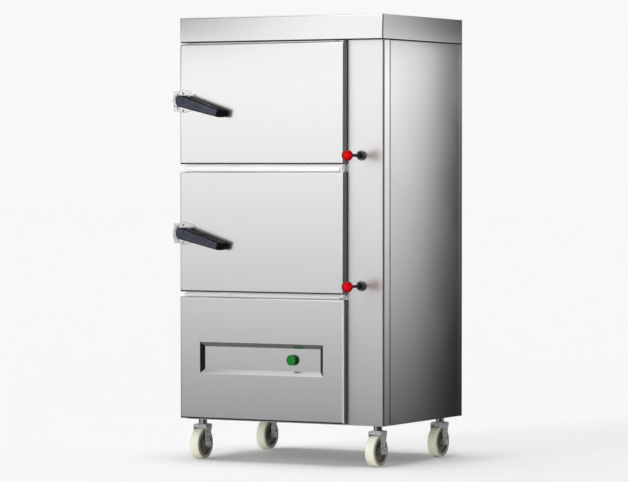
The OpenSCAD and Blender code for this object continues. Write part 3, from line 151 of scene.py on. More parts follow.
class SteamerColours(bpy.types.PropertyGroup):
    """Colours of the finishes, as linear values"""
    steel: bpy.props.FloatVectorProperty(
        name="Stainless steel", description="Colour of the brushed sheets",
        subtype="COLOR", size=3, default=(0.86, 0.86, 0.86), min=0.0, max=1.0)
    zinc: bpy.props.FloatVectorProperty(
        name="Zinc plating", description="Colour of forks, latch plates and screws",
        subtype="COLOR", size=3, default=(0.62, 0.62, 0.62), min=0.0, max=1.0)
    # Dark steel is the valve rods' own colour; on hems, the edges of plates and round the glands it stands
    # for painted shade
    dark_steel: bpy.props.FloatVectorProperty(
        name="Dark steel", description="Colour of the valve rods, the hems and the edges of plates",
        subtype="COLOR", size=3, default=(0.055, 0.053, 0.052), min=0.0, max=1.0)
    brass: bpy.props.FloatVectorProperty(
        name="Brass", description="Colour of the pipes and valves",
        subtype="COLOR", size=3, default=(0.60, 0.42, 0.16), min=0.0, max=1.0)
    foam: bpy.props.FloatVectorProperty(
        name="Insulation", description="Colour of the foamed insulation",
        subtype="COLOR", size=3, default=(0.72, 0.55, 0.24), min=0.0, max=1.0)
    gasket: bpy.props.FloatVectorProperty(
        name="Gasket", description="Colour of the door gaskets",
        subtype="COLOR", size=3, default=(0.24, 0.24, 0.25), min=0.0, max=1.0)
    nylon: bpy.props.FloatVectorProperty(
        name="Nylon", description="Colour of the wheels' treads",
        subtype="COLOR", size=3, default=(0.66, 0.65, 0.53), min=0.0, max=1.0)
    # The side ring and recessed core colours are darker nylon standing for painted shade on the wheel's side
    # and recess
    side: bpy.props.FloatVectorProperty(
        name="Shaded wheel side", description="Colour of the rings at the wheels' sides",
        subtype="COLOR", size=3, default=(0.24, 0.24, 0.19), min=0.0, max=1.0)
    core: bpy.props.FloatVectorProperty(
        name="Shaded wheel core", description="Colour of the wheels' recessed middles",
        subtype="COLOR", size=3, default=(0.11, 0.11, 0.09), min=0.0, max=1.0)
    lever: bpy.props.FloatVectorProperty(
        name="Lever", description="Colour of the latch levers' fronts",
        subtype="COLOR", size=3, default=(0.034, 0.039, 0.062), min=0.0, max=1.0)
    knob: bpy.props.FloatVectorProperty(
        name="Knob", description="Colour of the valve knobs",
        subtype="COLOR", size=3, default=(0.62, 0.001, 0.003), min=0.0, max=1.0)
    button: bpy.props.FloatVectorProperty(
        name="Button", description="Colour of the start button",
        subtype="COLOR", size=3, default=(0.002, 0.20, 0.015), min=0.0, max=1.0)
    # Black plastic is the housing's and gland's own colour; in the side seams it stands for painted shade
    black: bpy.props.FloatVectorProperty(
        name="Black plastic", description="Colour of button housing, cable gland and side seams",
        subtype="COLOR", size=3, default=(0.014, 0.014, 0.015), min=0.0, max=1.0)


class SteamerStage(bpy.types.PropertyGroup):
    """Camera and light of the studio"""
    camera_place: bpy.props.FloatVectorProperty(
        name="Camera", description="Place of the camera", subtype="TRANSLATION", size=3,
        default=(5.470, -9.983, 0.960))
    camera_turn: bpy.props.FloatProperty(
        name="Camera turn", description="Angle of the camera to the right of the front",
        default=math.radians(28.75), subtype="ANGLE")
    lens: bpy.props.FloatProperty(
        name="Lens", description="Focal length on a sensor 36 mm wide", default=200.6, min=1.0)
    camera_tilt: bpy.props.FloatProperty(
        name="Camera tilt", description="Angle by which the camera looks down",
        default=math.radians(1.277), subtype="ANGLE")
    backdrop: bpy.props.FloatProperty(
        name="Backdrop", description="Level of the white studio around the object", default=0.94, min=0.0)
    ambient: bpy.props.FloatProperty(
        name="Ambient", description="Level of the light from above and all sides", default=0.35, min=0.0)
    horizon: bpy.props.FloatProperty(
        name="Horizon light", description="Level of the ambient light that comes in low",
        default=6.0, min=0.0)
    left_share: bpy.props.FloatProperty(
        name="Left share", description="How much more ambient light comes from the left than the right",
        default=0.5, min=0.0, max=1.0)
    top_light: bpy.props.FloatProperty(
        name="Top light", description="Strength of the overhead light", default=1.24, min=0.0)
    key_light: bpy.props.FloatProperty(
        name="Key light", description="Strength of the light at the front left", default=0.40, min=0.0)


def sizes():
    return bpy.context.scene.steamer_sizes


def colours():
    return bpy.context.scene.steamer_colours


# Shader groups that several finishes share

class Tree:
    """Short way to add nodes to one tree and to join them"""

    def __init__(self, tree):
        self.tree = tree

    def add(self, kind, **settings):
        node = self.tree.nodes.new(kind)
        for name, value in settings.items():
            setattr(node, name, value)
        return node

    def join(self, output, target):
        self.tree.links.new(output, target)

    def noise(self, vector, scale, detail=2.0):
        node = self.add("ShaderNodeTexNoise")
        node.inputs["Scale"].default_value = scale
        node.inputs["Detail"].default_value = detail
        self.join(vector, node.inputs["Vector"])
        return node.outputs["Fac"]

    def remap(self, value, low, high, from_low=0.0, from_high=1.0):
        node = self.add("ShaderNodeMapRange")
        node.inputs["From Min"].default_value = from_low
        node.inputs["From Max"].default_value = from_high
        node.inputs["To Min"].default_value = low
        node.inputs["To Max"].default_value = high
        self.join(value, node.inputs["Value"])
        return node.outputs["Result"]

    def maths(self, operation, first, second):
        node = self.add("ShaderNodeMath", operation=operation)
        for socket, value in zip(node.inputs, (first, second)):
            if isinstance(value, (int, float)):
                socket.default_value = value
            else:
                self.join(value, socket)
        return node.outputs["Value"]

    def blend(self, mask, first, second):
        """Colour between two colours, by a mask"""
        node = self.add("ShaderNodeMix", data_type="RGBA")
        self.join(mask, node.inputs["Factor"])
        for socket, value in zip((node.inputs[6], node.inputs[7]), (first, second)):
            if isinstance(value, (tuple, list)):
                socket.default_value = (*value[:3], 1.0)
            else:
                self.join(value, socket)
        return node.outputs[2]


def shader_group(name, inputs, outputs):
    """New group with its sockets, returned with its tree and its two end nodes, or None if it exists"""
    found = bpy.data.node_groups.get(name)
    if found:
        return found, None, None, None
    group = bpy.data.node_groups.new(name, "ShaderNodeTree")
    for label, kind, default in inputs:
        socket = group.interface.new_socket(name=label, in_out="INPUT", socket_type=kind)
        socket.default_value = default
    for label, kind in outputs:
        group.interface.new_socket(name=label, in_out="OUTPUT", socket_type=kind)
    tree = Tree(group)
    return group, tree, tree.add("NodeGroupInput"), tree.add("NodeGroupOutput")


def brushed_grain():
    """Long streaks along one axis, with faint handling marks"""
    group, tree, given, result = shader_group(
        "Brushed grain",
        [("Vector", "NodeSocketVector", (0, 0, 0)), ("Stretch", "NodeSocketVector", (1, 1, 1))],
        [("Streaks", "NodeSocketFloat"), ("Marks", "NodeSocketFloat")])
    if tree is None:
        return group
    stretched = tree.add("ShaderNodeVectorMath", operation="MULTIPLY")
    tree.join(given.outputs["Vector"], stretched.inputs[0])
    tree.join(given.outputs["Stretch"], stretched.inputs[1])
    wide = tree.noise(stretched.outputs["Vector"], 1.0, 3.0)
    fine = tree.noise(stretched.outputs["Vector"], 4.5, 2.0)
    tree.join(tree.maths("ADD", tree.maths("MULTIPLY", wide, 0.6), tree.maths("MULTIPLY", fine, 0.4)),
              result.inputs["Streaks"])
    tree.join(tree.noise(given.outputs["Vector"], 5.0, 5.0), result.inputs["Marks"])
    return group


def fine_speckle():
    """Fine grain of moulded and painted surfaces, and broad soft patches"""
    group, tree, given, result = shader_group(
        "Fine speckle",
        [("Vector", "NodeSocketVector", (0, 0, 0)), ("Scale", "NodeSocketFloat", 300.0)],
        [("Grain", "NodeSocketFloat"), ("Patches", "NodeSocketFloat")])
    if tree is None:
        return group
    grain = tree.add("ShaderNodeTexNoise")
    grain.inputs["Detail"].default_value = 4.0
    tree.join(given.outputs["Vector"], grain.inputs["Vector"])
    tree.join(given.outputs["Scale"], grain.inputs["Scale"])
    tree.join(grain.outputs["Fac"], result.inputs["Grain"])
    tree.join(tree.noise(given.outputs["Vector"], 22.0, 3.0), result.inputs["Patches"])
    return group


def plating_spangle():
    """Crystal patches of zinc plating"""
    group, tree, given, result = shader_group(
        "Plating spangle",
        [("Vector", "NodeSocketVector", (0, 0, 0)), ("Scale", "NodeSocketFloat", 220.0)],
        [("Spangle", "NodeSocketFloat"), ("Dust", "NodeSocketFloat")])
    if tree is None:
        return group
    cells = tree.add("ShaderNodeTexVoronoi")
    tree.join(given.outputs["Vector"], cells.inputs["Vector"])
    tree.join(given.outputs["Scale"], cells.inputs["Scale"])
    shade = tree.add("ShaderNodeSeparateColor")
    tree.join(cells.outputs["Color"], shade.inputs["Color"])
    tree.join(shade.outputs["Red"], result.inputs["Spangle"])
    tree.join(tree.noise(given.outputs["Vector"], 60.0, 4.0), result.inputs["Dust"])
    return group


# Finishes

def finish(name):
    """New material with its shader and object coordinates, or None for them if it exists"""
    found = bpy.data.materials.get(name)
    if found:
        return found, None, None, None
    material = bpy.data.materials.new(name)
    material.use_nodes = True
    tree = Tree(material.node_tree)
    shader = material.node_tree.nodes["Principled BSDF"]
    place = tree.add("ShaderNodeTexCoord").outputs["Object"]
    return material, tree, shader, place


def use_group(tree, group, place, **values):
    node = tree.add("ShaderNodeGroup")
    node.node_tree = group
    tree.join(place, node.inputs["Vector"])
    for name, value in values.items():
        node.inputs[name].default_value = value
    return node.outputs


def raise_relief(tree, shader, height, distance, strength=1.0):
    bump = tree.add("ShaderNodeBump")
    bump.inputs["Strength"].default_value = strength
    bump.inputs["Distance"].default_value = distance
    tree.join(height, bump.inputs["Height"])
    tree.join(bump.outputs["Normal"], shader.inputs["Normal"])


def shade(colour, factor):
    return tuple(min(1.0, part * factor) for part in colour)


def brushed_steel(name, stretch, roughness=0.20, brightness=1.0, metal=1.0):
    material, tree, shader, place = finish(name)
    if tree is None:
        return material
    steel = shade(colours().steel, brightness)
    grain = use_group(tree, brushed_grain(), place, Stretch=stretch)
    tree.join(tree.blend(grain["Streaks"], shade(steel, 0.96), shade(steel, 1.04)),
              shader.inputs["Base Color"])
    marks = tree.remap(grain["Marks"], -0.012, 0.018, 0.35, 0.7)
    streaks = tree.remap(grain["Streaks"], roughness - 0.04, roughness + 0.04)
    tree.join(tree.maths("ADD", marks, streaks), shader.inputs["Roughness"])
    shader.inputs["Metallic"].default_value = metal
    raise_relief(tree, shader, grain["Streaks"], 0.000008)
    return material


def steel_across():
    return brushed_steel("Stainless grain across", GRAIN_ACROSS)


def steel_cap():
    return brushed_steel("Stainless cap", GRAIN_ACROSS, 0.22)


def steel_side():
    return brushed_steel("Stainless side", GRAIN_UPRIGHT, 0.17)


def steel_pillar():
    """Upright grain, on a face whose edge beside the doors is rolled back a little"""
    material = brushed_steel("Stainless pillar", GRAIN_UPRIGHT, 0.30)
    tree = Tree(material.node_tree)
    part = tree.add("ShaderNodeSeparateXYZ")
    tree.join(tree.add("ShaderNodeTexCoord").outputs["Object"], part.inputs["Vector"])
    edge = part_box("upper_door_skin")[1].x
    lean = tree.add("ShaderNodeCombineXYZ")
    tree.join(tree.remap(part.outputs["X"], ROLL_SLOPE, 0.0, edge, edge + ROLL_WIDTH), lean.inputs["X"])
    leaned = tree.add("ShaderNodeVectorMath", operation="ADD")
    tree.join(tree.add("ShaderNodeNewGeometry").outputs["Normal"], leaned.inputs[0])
    tree.join(lean.outputs["Vector"], leaned.inputs[1])
    tree.join(leaned.outputs["Vector"], material.node_tree.nodes["Bump"].inputs["Normal"])
    return material


# The pillar's return strip: the same steel made brighter, a painted lighter tone
def steel_return_lit():
    return brushed_steel("Stainless return lit", GRAIN_UPRIGHT, 0.17, brightness=1.12)


def steel_edge():
    """Paler half-metal steel: a painted highlight on the drip ledge and the lower panel's right fold, and the
    finish of bushes and hinge brackets
    """
    return brushed_steel("Stainless edge", GRAIN_UPRIGHT, 0.35, brightness=0.84, metal=0.3)


def steel_shaded():
    """Fold in the shade of its neighbours"""
    return brushed_steel("Stainless shaded", GRAIN_UPRIGHT, brightness=0.26)


def steel_upright():
    return brushed_steel("Stainless grain upright", GRAIN_UPRIGHT)


def steel_deep():
    return brushed_steel("Stainless grain deep", GRAIN_DEEP)


def zinc_plate():
    material, tree, shader, place = finish("Zinc plating")
    if tree is None:
        return material
    zinc = colours().zinc
    plating = use_group(tree, plating_spangle(), place)
    dull = tree.blend(plating["Spangle"], shade(zinc, 0.60), shade(zinc, 1.25))
    dusty = tree.remap(plating["Dust"], 0.0, 0.55, 0.45, 0.75)
    tree.join(tree.blend(dusty, dull, shade(zinc, 0.50)), shader.inputs["Base Color"])
    tree.join(tree.remap(plating["Spangle"], 0.26, 0.42), shader.inputs["Roughness"])
    shader.inputs["Metallic"].default_value = 0.55
    raise_relief(tree, shader, plating["Dust"], 0.0001)
    return material


def polished_zinc():
    material, tree, shader, place = finish("Polished plating")
    if tree is None:
        return material
    zinc = colours().zinc
    plating = use_group(tree, plating_spangle(), place, Scale=90.0)
    tree.join(tree.blend(plating["Dust"], shade(zinc, 1.1), shade(zinc, 1.35)), shader.inputs["Base Color"])
    tree.join(tree.remap(plating["Dust"], 0.08, 0.16), shader.inputs["Roughness"])
    shader.inputs["Metallic"].default_value = 1.0
    return material


def dark_steel():
    material, tree, shader, place = finish("Dark steel")
    if tree is None:
        return material
    steel = colours().dark_steel
    grain = use_group(tree, brushed_grain(), place, Stretch=GRAIN_DEEP)
    tree.join(tree.blend(grain["Streaks"], shade(steel, 0.7), shade(steel, 1.5)), shader.inputs["Base Color"])
    tree.join(tree.remap(grain["Marks"], 0.30, 0.46), shader.inputs["Roughness"])
    shader.inputs["Metallic"].default_value = 0.8
    return material


def gland_steel_shadowed():
    """Steel of the glands with a painted shadow of the knobs: dark round the valve rods, fading out to plain
    steel
    """
    material, tree, shader, place = finish("Gland steel with painted shadow")
    if tree is None:
        return material
    part = tree.add("ShaderNodeSeparateXYZ")
    tree.join(place, part.inputs["Vector"])
    axes = [sum(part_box(level + "_valve_rod"), Vector()) / 2 for level in LEVELS]
    above = [tree.maths("SUBTRACT", part.outputs["Z"], axis.z) for axis in axes]
    rise = tree.maths("MINIMUM", *(tree.maths("ABSOLUTE", height, 0.0) for height in above))
    aside = tree.maths("SUBTRACT", part.outputs["X"], axes[0].x)
    radius = tree.maths("SQRT", tree.maths("ADD", tree.maths("MULTIPLY", rise, rise),
                                           tree.maths("MULTIPLY", aside, aside)), 0.0)
    # Painted shadow: dark steel within the inner radius round a rod, plain steel beyond the outer
    ragged = tree.maths("ADD", radius, tree.remap(tree.noise(place, 240.0), -SHADOW_FRAY, SHADOW_FRAY))
    unshaded = tree.remap(ragged, 0.0, 1.0, *SHADOW_RADII)
    tree.join(tree.blend(unshaded, shade(colours().dark_steel, 0.6), shade(colours().steel, 1.0)),
              shader.inputs["Base Color"])
    tree.join(tree.remap(unshaded, 0.5, 0.35), shader.inputs["Roughness"])
    shader.inputs["Metallic"].default_value = 1.0
    return material


def brass():
    material, tree, shader, place = finish("Brass")
    if tree is None:
        return material
    metal = colours().brass
    plating = use_group(tree, plating_spangle(), place, Scale=70.0)
    tarnish = tree.remap(plating["Dust"], 0.0, 0.8, 0.4, 0.75)
    tree.join(tree.blend(tarnish, shade(metal, 1.1), shade(metal, 0.5)), shader.inputs["Base Color"])
    tree.join(tree.remap(plating["Dust"], 0.22, 0.45), shader.inputs["Roughness"])
    shader.inputs["Metallic"].default_value = 1.0
    return material


def moulded(name, colour, roughness, scale, contrast, relief):
    """Plastic, rubber or foam: speckled colour, uneven gloss and a fine relief"""
    material, tree, shader, place = finish(name)
    if tree is None:
        return material
    speckle = use_group(tree, fine_speckle(), place, Scale=scale)
    uneven = tree.blend(speckle["Grain"], shade(colour, 1.0 - contrast), shade(colour, 1.0 + contrast))
    patches = tree.remap(speckle["Patches"], 0.0, 0.4, 0.45, 0.75)
    tree.join(tree.blend(patches, uneven, shade(colour, 1.0 - contrast)), shader.inputs["Base Color"])
    tree.join(tree.remap(speckle["Patches"], roughness * 0.85, roughness * 1.2, 0.3, 0.7),
              shader.inputs["Roughness"])
    raise_relief(tree, shader, speckle["Grain"], relief)
    return material


def foam():
    return moulded("Insulation foam", colours().foam, 0.9, 420.0, 0.16, 0.0006)


def gasket_rubber():
    return moulded("Gasket rubber", colours().gasket, 0.62, 700.0, 0.12, 0.00008)


def ivory_nylon():
    return moulded("Ivory nylon", colours().nylon, 0.38, 260.0, 0.06, 0.00008)


# Wheel core and side ring: darker nylon as painted shade
def shaded_wheel_core():
    return moulded("Shaded wheel core", colours().core, 0.55, 330.0, 0.45, 0.0002)


def shaded_wheel_side():
    return moulded("Shaded wheel side", colours().side, 0.5, 330.0, 0.35, 0.0002)


# Near-black finish of a lever's top, end and back: painted shade
def lever_shade():
    material = moulded("Lever painted shade", shade(colours().black, 0.4), 0.6, 420.0, 0.3, 0.0001)
    material.node_tree.nodes["Principled BSDF"].inputs["Specular IOR Level"].default_value = 0.05
    return material


def paint_rim_shade(material, colour):
    """Paints shade on a deep plastic: its colour falls off to a darker tone where the surface turns away from
    the view
    """
    tree = Tree(material.node_tree)
    base = material.node_tree.nodes["Principled BSDF"].inputs["Base Color"]
    turn = tree.add("ShaderNodeLayerWeight")
    turn.inputs["Blend"].default_value = 0.75
    tree.join(tree.blend(turn.outputs["Facing"], base.links[0].from_socket, shade(colour, 0.12)), base)


def black_plastic():
    return moulded("Black plastic", colours().black, 0.42, 900.0, 0.2, 0.00005)


def lever_paint():
    material = moulded("Lever paint", colours().lever, 0.36, 170.0, 0.85, 0.0003)
    material.node_tree.nodes["Principled BSDF"].inputs["Metallic"].default_value = 0.35
    return material


def red_plastic():
    if "Red plastic" in bpy.data.materials:
        return bpy.data.materials["Red plastic"]
    material = moulded("Red plastic", colours().knob, 0.22, 500.0, 0.05, 0.00001)
    material.node_tree.nodes["Principled BSDF"].inputs["Specular IOR Level"].default_value = 0.08
    # Painted shade towards the knob's rim
    paint_rim_shade(material, colours().knob)
    return material


def green_plastic():
    material = moulded("Green plastic", colours().button, 0.26, 230.0, 0.7, 0.0002)
    material.node_tree.nodes["Principled BSDF"].inputs["Specular IOR Level"].default_value = 0.2
    # Painted shade towards the button's rim
    paint_rim_shade(material, colours().button)
    return material


# Meshes

def link(name, mesh):
    piece = bpy.data.objects.new(name, mesh)
    bpy.context.scene.collection.objects.link(piece)
    return piece


def finished(name, shape):
    """Object of a mesh: smooth but for its sharp edges, its flat stretches flat"""
    for face in shape.faces:
        face.smooth = True
    for edge in shape.edges:
        edge.smooth = len(edge.link_faces) == 2 and edge.calc_face_angle(0.0) < SHARP_ANGLE
    mesh = bpy.data.meshes.new(name)
    shape.to_mesh(mesh)
    shape.free()
    carried = mesh.attributes.get("custom_normal")
    if carried:
        mesh.attributes.remove(carried)
    piece = link(name, mesh)
    weigh = piece.modifiers.new("Flat faces", "WEIGHTED_NORMAL")
    weigh.keep_sharp = True
    return piece


def merged_copy(node):
    """Closed mesh of a CAD node, its flat faces made whole again"""
    shape = bmesh.new()
    shape.from_mesh(frame["nodes"][node].data)
    bmesh.ops.remove_doubles(shape, verts=shape.verts, dist=MERGE_DISTANCE)
    bmesh.ops.dissolve_limit(shape, angle_limit=FLAT_ANGLE, verts=shape.verts, edges=shape.edges)
    return shape


def is_rim(face, width):
    """A face as narrow as the sheet, which a fold can't round"""
    longest = max(edge.calc_length() for edge in face.edges)
    if face.calc_area() / longest > RIM_SLACK * width:
        return False
    return not any(len(e.link_faces) == 2 and e.calc_face_angle(0.0) < SMOOTH_ANGLE for e in face.edges)


def round_edges(shape, width, steps):
    """Rounds the outer edges of a mesh, and leaves the cut edges of thin sheet"""
    chosen = []
    for edge in shape.edges:
        if len(edge.link_faces) != 2 or not edge.is_convex:
            continue
        if edge.calc_face_angle(0.0) < SHARP_ANGLE:
            continue
        if any(is_rim(face, width) for face in edge.link_faces):
            continue
        chosen.append(edge)
    if chosen:
        bmesh.ops.bevel(shape, geom=chosen, offset=width, offset_type="OFFSET", segments=steps,
                        profile=0.5, affect="EDGES", clamp_overlap=True)


def place_piece(piece, node, *materials):
    """Gives a piece its finishes, and puts it in the place of its CAD node"""
    for material in materials:
        piece.data.materials.append(material)
    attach(piece, BODY_OF[node])
    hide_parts(node)
    return piece


def dress(node, material, width, *others, steps=3):
    """Piece with the shape of a CAD node, rounded edges and a finish, and (finish, test) on chosen faces"""
    shape = merged_copy(node)
    round_edges(shape, width, steps)
    for face in shape.faces:
        fits = [k for k, (other, test) in enumerate(others, 1) if test(face)]
        face.material_index = fits[0] if fits else 0
    piece = finished(node + "_finish", shape)
    return place_piece(piece, node, material, *(other for other, test in others))


def is_shaded_hem(face):
    return SHADED_HEM[0] < face.normal.z < SHADED_HEM[1]


def is_left_fold(face):
    return face.normal.x < -SIDEWAYS and face.normal.y < SHOWS


def is_ledge(face):
    return face.normal.y < -SLOPE and face.normal.z > SLOPE


def looks_forwards(face):
    return face.normal.y < FORWARDS


def looks_right(face):
    return face.normal.x > -FORWARDS


# Faces seen edge-on from the front, which take a painted shade outline on plates and strikes
def is_shaded_edge_on(face):
    return abs(face.normal.y) < -FORWARDS


def paint(node, material):
    """Finish of a CAD node that is shown as it is"""
    piece = frame["nodes"][node]
    piece.data.materials.clear()
    piece.data.materials.append(material)


def turned(name, profile, centre, axis, steps=72):
    """Turned piece: a profile of (radius, distance along the axis) swept round the axis at a centre"""
    along = Vector(axis).normalized()
    out = along.orthogonal().normalized()
    side = along.cross(out)
    shape = bmesh.new()
    rings = []
    for radius, offset in profile:
        if radius < 1e-6:
            rings.append([shape.verts.new(Vector(centre) + along * offset)])
            continue
        ring = []
        for k in range(steps):
            turn = 2 * math.pi * k / steps
            spoke = out * math.cos(turn) + side * math.sin(turn)
            ring.append(shape.verts.new(Vector(centre) + along * offset + spoke * radius))
        rings.append(ring)
    for first, second in zip(rings, rings[1:]):
        for k in range(steps):
            nxt = (k + 1) % steps
            corners = [first[k % len(first)], first[nxt % len(first)],
                       second[nxt % len(second)], second[k % len(second)]]
            unique = list(dict.fromkeys(corners))
            if len(unique) > 2:
                shape.faces.new(unique)
    bmesh.ops.recalc_face_normals(shape, faces=shape.faces)
    return finished(name, shape)


def arc_points(centre, radius, start, end, steps=8):
    """Points of an arc, its angles in degrees from the radius axis towards the turning axis"""
    points = []
    for k in range(steps + 1):
        angle = math.radians(start + (end - start) * k / steps)
        points.append((centre[0] + radius * math.cos(angle), centre[1] + radius * math.sin(angle)))
    return points


# Screw heads

def screw_tree():
    """Geometry tree that sets a cross-recessed screw head on each point"""
    found = bpy.data.node_groups.get("Screw heads")
    if found:
        return found
    group = bpy.data.node_groups.new("Screw heads", "GeometryNodeTree")
    group.interface.new_socket(name="Points", in_out="INPUT", socket_type="NodeSocketGeometry")
    for label in ("Head diameter", "Head height", "Recess length", "Recess width"):
        group.interface.new_socket(name=label, in_out="INPUT", socket_type="NodeSocketFloat")
    group.interface.new_socket(name="Facing", in_out="INPUT", socket_type="NodeSocketVector")
    group.interface.new_socket(name="Seed", in_out="INPUT", socket_type="NodeSocketInt")
    group.interface.new_socket(name="Metal", in_out="INPUT", socket_type="NodeSocketMaterial")
    group.interface.new_socket(name="Screws", in_out="OUTPUT", socket_type="NodeSocketGeometry")
    tree = Tree(group)
    given = tree.add("NodeGroupInput").outputs
    result = tree.add("NodeGroupOutput")

    head = tree.add("GeometryNodeMeshCone")
    head.inputs["Vertices"].default_value = 24
    radius = tree.maths("MULTIPLY", given["Head diameter"], 0.5)
    tree.join(radius, head.inputs["Radius Bottom"])
    tree.join(tree.maths("MULTIPLY", radius, 0.7), head.inputs["Radius Top"])
    tree.join(given["Head height"], head.inputs["Depth"])

    recess_place = tree.add("ShaderNodeCombineXYZ")
    tree.join(given["Head height"], recess_place.inputs["Z"])
    cut = tree.add("GeometryNodeMeshBoolean", operation="DIFFERENCE")
    tree.join(head.outputs["Mesh"], cut.inputs["Mesh 1"])
    for first, second in (("X", "Y"), ("Y", "X")):
        size = tree.add("ShaderNodeCombineXYZ")
        tree.join(given["Recess length"], size.inputs[first])
        tree.join(given["Recess width"], size.inputs[second])
        tree.join(given["Head height"], size.inputs["Z"])
        bar = tree.add("GeometryNodeMeshCube")
        tree.join(size.outputs["Vector"], bar.inputs["Size"])
        lifted = tree.add("GeometryNodeTransform")
        tree.join(bar.outputs["Mesh"], lifted.inputs["Geometry"])
        tree.join(recess_place.outputs["Vector"], lifted.inputs["Translation"])
        tree.join(lifted.outputs["Geometry"], cut.inputs["Mesh 2"])

    face = tree.add("FunctionNodeAlignRotationToVector", axis="Z")
    tree.join(given["Facing"], face.inputs["Vector"])
    spin = tree.add("FunctionNodeRandomValue", data_type="FLOAT")
    spin.inputs[3].default_value = math.pi
    tree.join(given["Seed"], spin.inputs["Seed"])
    turn = tree.add("ShaderNodeCombineXYZ")
    tree.join(spin.outputs[1], turn.inputs["Z"])
    as_rotation = tree.add("FunctionNodeEulerToRotation")
    tree.join(turn.outputs["Vector"], as_rotation.inputs["Euler"])
    turned_face = tree.add("FunctionNodeRotateRotation", rotation_space="LOCAL")
    tree.join(face.outputs["Rotation"], turned_face.inputs["Rotation"])
    tree.join(as_rotation.outputs["Rotation"], turned_face.inputs["Rotate By"])

    heads = tree.add("GeometryNodeInstanceOnPoints")
    tree.join(given["Points"], heads.inputs["Points"])
    tree.join(cut.outputs["Mesh"], heads.inputs["Instance"])
    tree.join(turned_face.outputs["Rotation"], heads.inputs["Rotation"])
    real = tree.add("GeometryNodeRealizeInstances")
    tree.join(heads.outputs["Instances"], real.inputs["Geometry"])
    metal = tree.add("GeometryNodeSetMaterial")
    tree.join(real.outputs["Geometry"], metal.inputs["Geometry"])
    tree.join(given["Metal"], metal.inputs["Material"])
    tree.join(metal.outputs["Geometry"], result.inputs["Screws"])
    return group


def screws(name, body, points, facing, material, diameter):
    """Screw heads at points on one body, as one plain mesh"""
    seats = bpy.data.meshes.new(name + "_seats")
    seats.from_pydata([tuple(p) for p in points], [], [])
    holder = link(name + "_holder", seats)
    group = screw_tree()
    values = {
        "Head diameter": diameter, "Head height": 0.3 * diameter, "Recess length": 0.62 * diameter,
        "Recess width": 0.16 * diameter, "Facing": facing, "Seed": 7, "Metal": material}
    modifier = holder.modifiers.new("Screw heads", "NODES")
    modifier.node_group = group
    for item in group.interface.items_tree:
        if item.in_out == "INPUT" and item.name in values:
            modifier[item.identifier] = values[item.name]
    graph = bpy.context.evaluated_depsgraph_get()
    mesh = bpy.data.meshes.new_from_object(holder.evaluated_get(graph))
    mesh.name = name
    bpy.data.objects.remove(holder)
    bpy.data.meshes.remove(seats)
    piece = link(name, mesh)
    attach(piece, body)
    return piece


# Operators, one for each group of pieces

class STEAMER_OT_body_shell(bpy.types.Operator):
    """Brushed sheets of the body: frame, pillar, sides, rear cover, cap and base"""
    bl_idname = "steamer.body_shell"
    bl_label = "Body shell"

    def execute(self, context):
        fold = sizes().sheet_edge
        for node in ("frame_stiles", "rear_cover"):
            dress(node, steel_upright(), fold)
        # The pillar's faces that look right get the brighter steel: painted light on the return strip
        dress("pillar_cover", steel_pillar(), fold, (steel_return_lit(), looks_right))
        for node in ("left_panel", "right_panel"):
            # Forward-facing fold faces in the side seams get black plastic: painted shade in the groove
            dress(node, steel_side(), fold, (black_plastic(), looks_forwards))
        dress("base_plate", steel_across(), fold)
        # The ledge's slope gets paler steel: a painted highlight
        dress("frame_rails", steel_across(), fold, (steel_edge(), is_ledge))
        # The cap's hem gets dark steel: painted shade on the underside of its fold
        dress("top_cap", steel_cap(), sizes().door_edge, (dark_steel(), is_shaded_hem))
        return {"FINISHED"}


class STEAMER_OT_doors(bpy.types.Operator):
    """Both doors: skins, inner trays, gaskets, bushes and cores, and the hinge brackets"""
    bl_idname = "steamer.doors"
    bl_label = "Doors"

    def execute(self, context):
        for level in LEVELS:
            # Door skins: dark steel on the hem as painted shade, shaded steel on the left fold
            dress(level + "_door_skin", steel_across(), sizes().door_edge, (dark_steel(), is_shaded_hem),
                  (steel_shaded(), is_left_fold))
            dress(level + "_door_tray", steel_across(), sizes().sheet_edge)
            dress(level + "_door_gasket", gasket_rubber(), sizes().door_edge)
            dress(level + "_door_bushes", steel_edge(), sizes().part_edge)
            paint(level + "_door_core", foam())
        dress("hinge_brackets", steel_edge(), sizes().part_edge)
        return {"FINISHED"}


class STEAMER_OT_latches(bpy.types.Operator):
    """Lever latches: plates, strikes, levers, hooks and their screws"""
    bl_idname = "steamer.latches"
    bl_label = "Latches"

    def execute(self, context):
        # Edge-on rims of the strikes get dark steel: a painted shade outline
        dress("latch_strikes", polished_zinc(), 3 * sizes().part_edge, (dark_steel(), is_shaded_edge_on))
        strike_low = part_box("latch_strikes")[0]
        strike_points = []
        for level in LEVELS:
            # Edge-on rims of the latch plates get dark steel: a painted shade outline
            dress(level + "_latch_base", polished_zinc(), 2 * sizes().part_edge, (dark_steel(), is_shaded_edge_on))
            # Lever: its colour on the front, near-black painted shade on the other faces
            dress(level + "_latch_lever", lever_paint(), 3 * sizes().part_edge,
                  (lever_shade(), lambda face: face.normal.y > LEVER_FRONT), steps=4)
            dress(level + "_latch_hook", zinc_plate(), sizes().part_edge)
            low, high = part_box(level + "_latch_base")
            centre = (low + high) / 2
            door_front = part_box(level + "_door_skin")[0].y
            points = [(low.x + PLATE_SCREW_IN, door_front - PLATE_THICKNESS, centre.z + rise)
                      for rise in PLATE_SCREW_RISES]
            screws(level + "_latch_screws", level + "_door", points, (0, -1, 0), zinc_plate(),
                   sizes().screw_head)
            strike_points += [(strike_low.x + STRIKE_SCREW_IN, door_front, centre.z + rise)
                              for rise in STRIKE_SCREW_RISES]
        screws("strike_screws", "cabinet", strike_points, (0, -1, 0), zinc_plate(), 0.75 * sizes().screw_head)
        return {"FINISHED"}


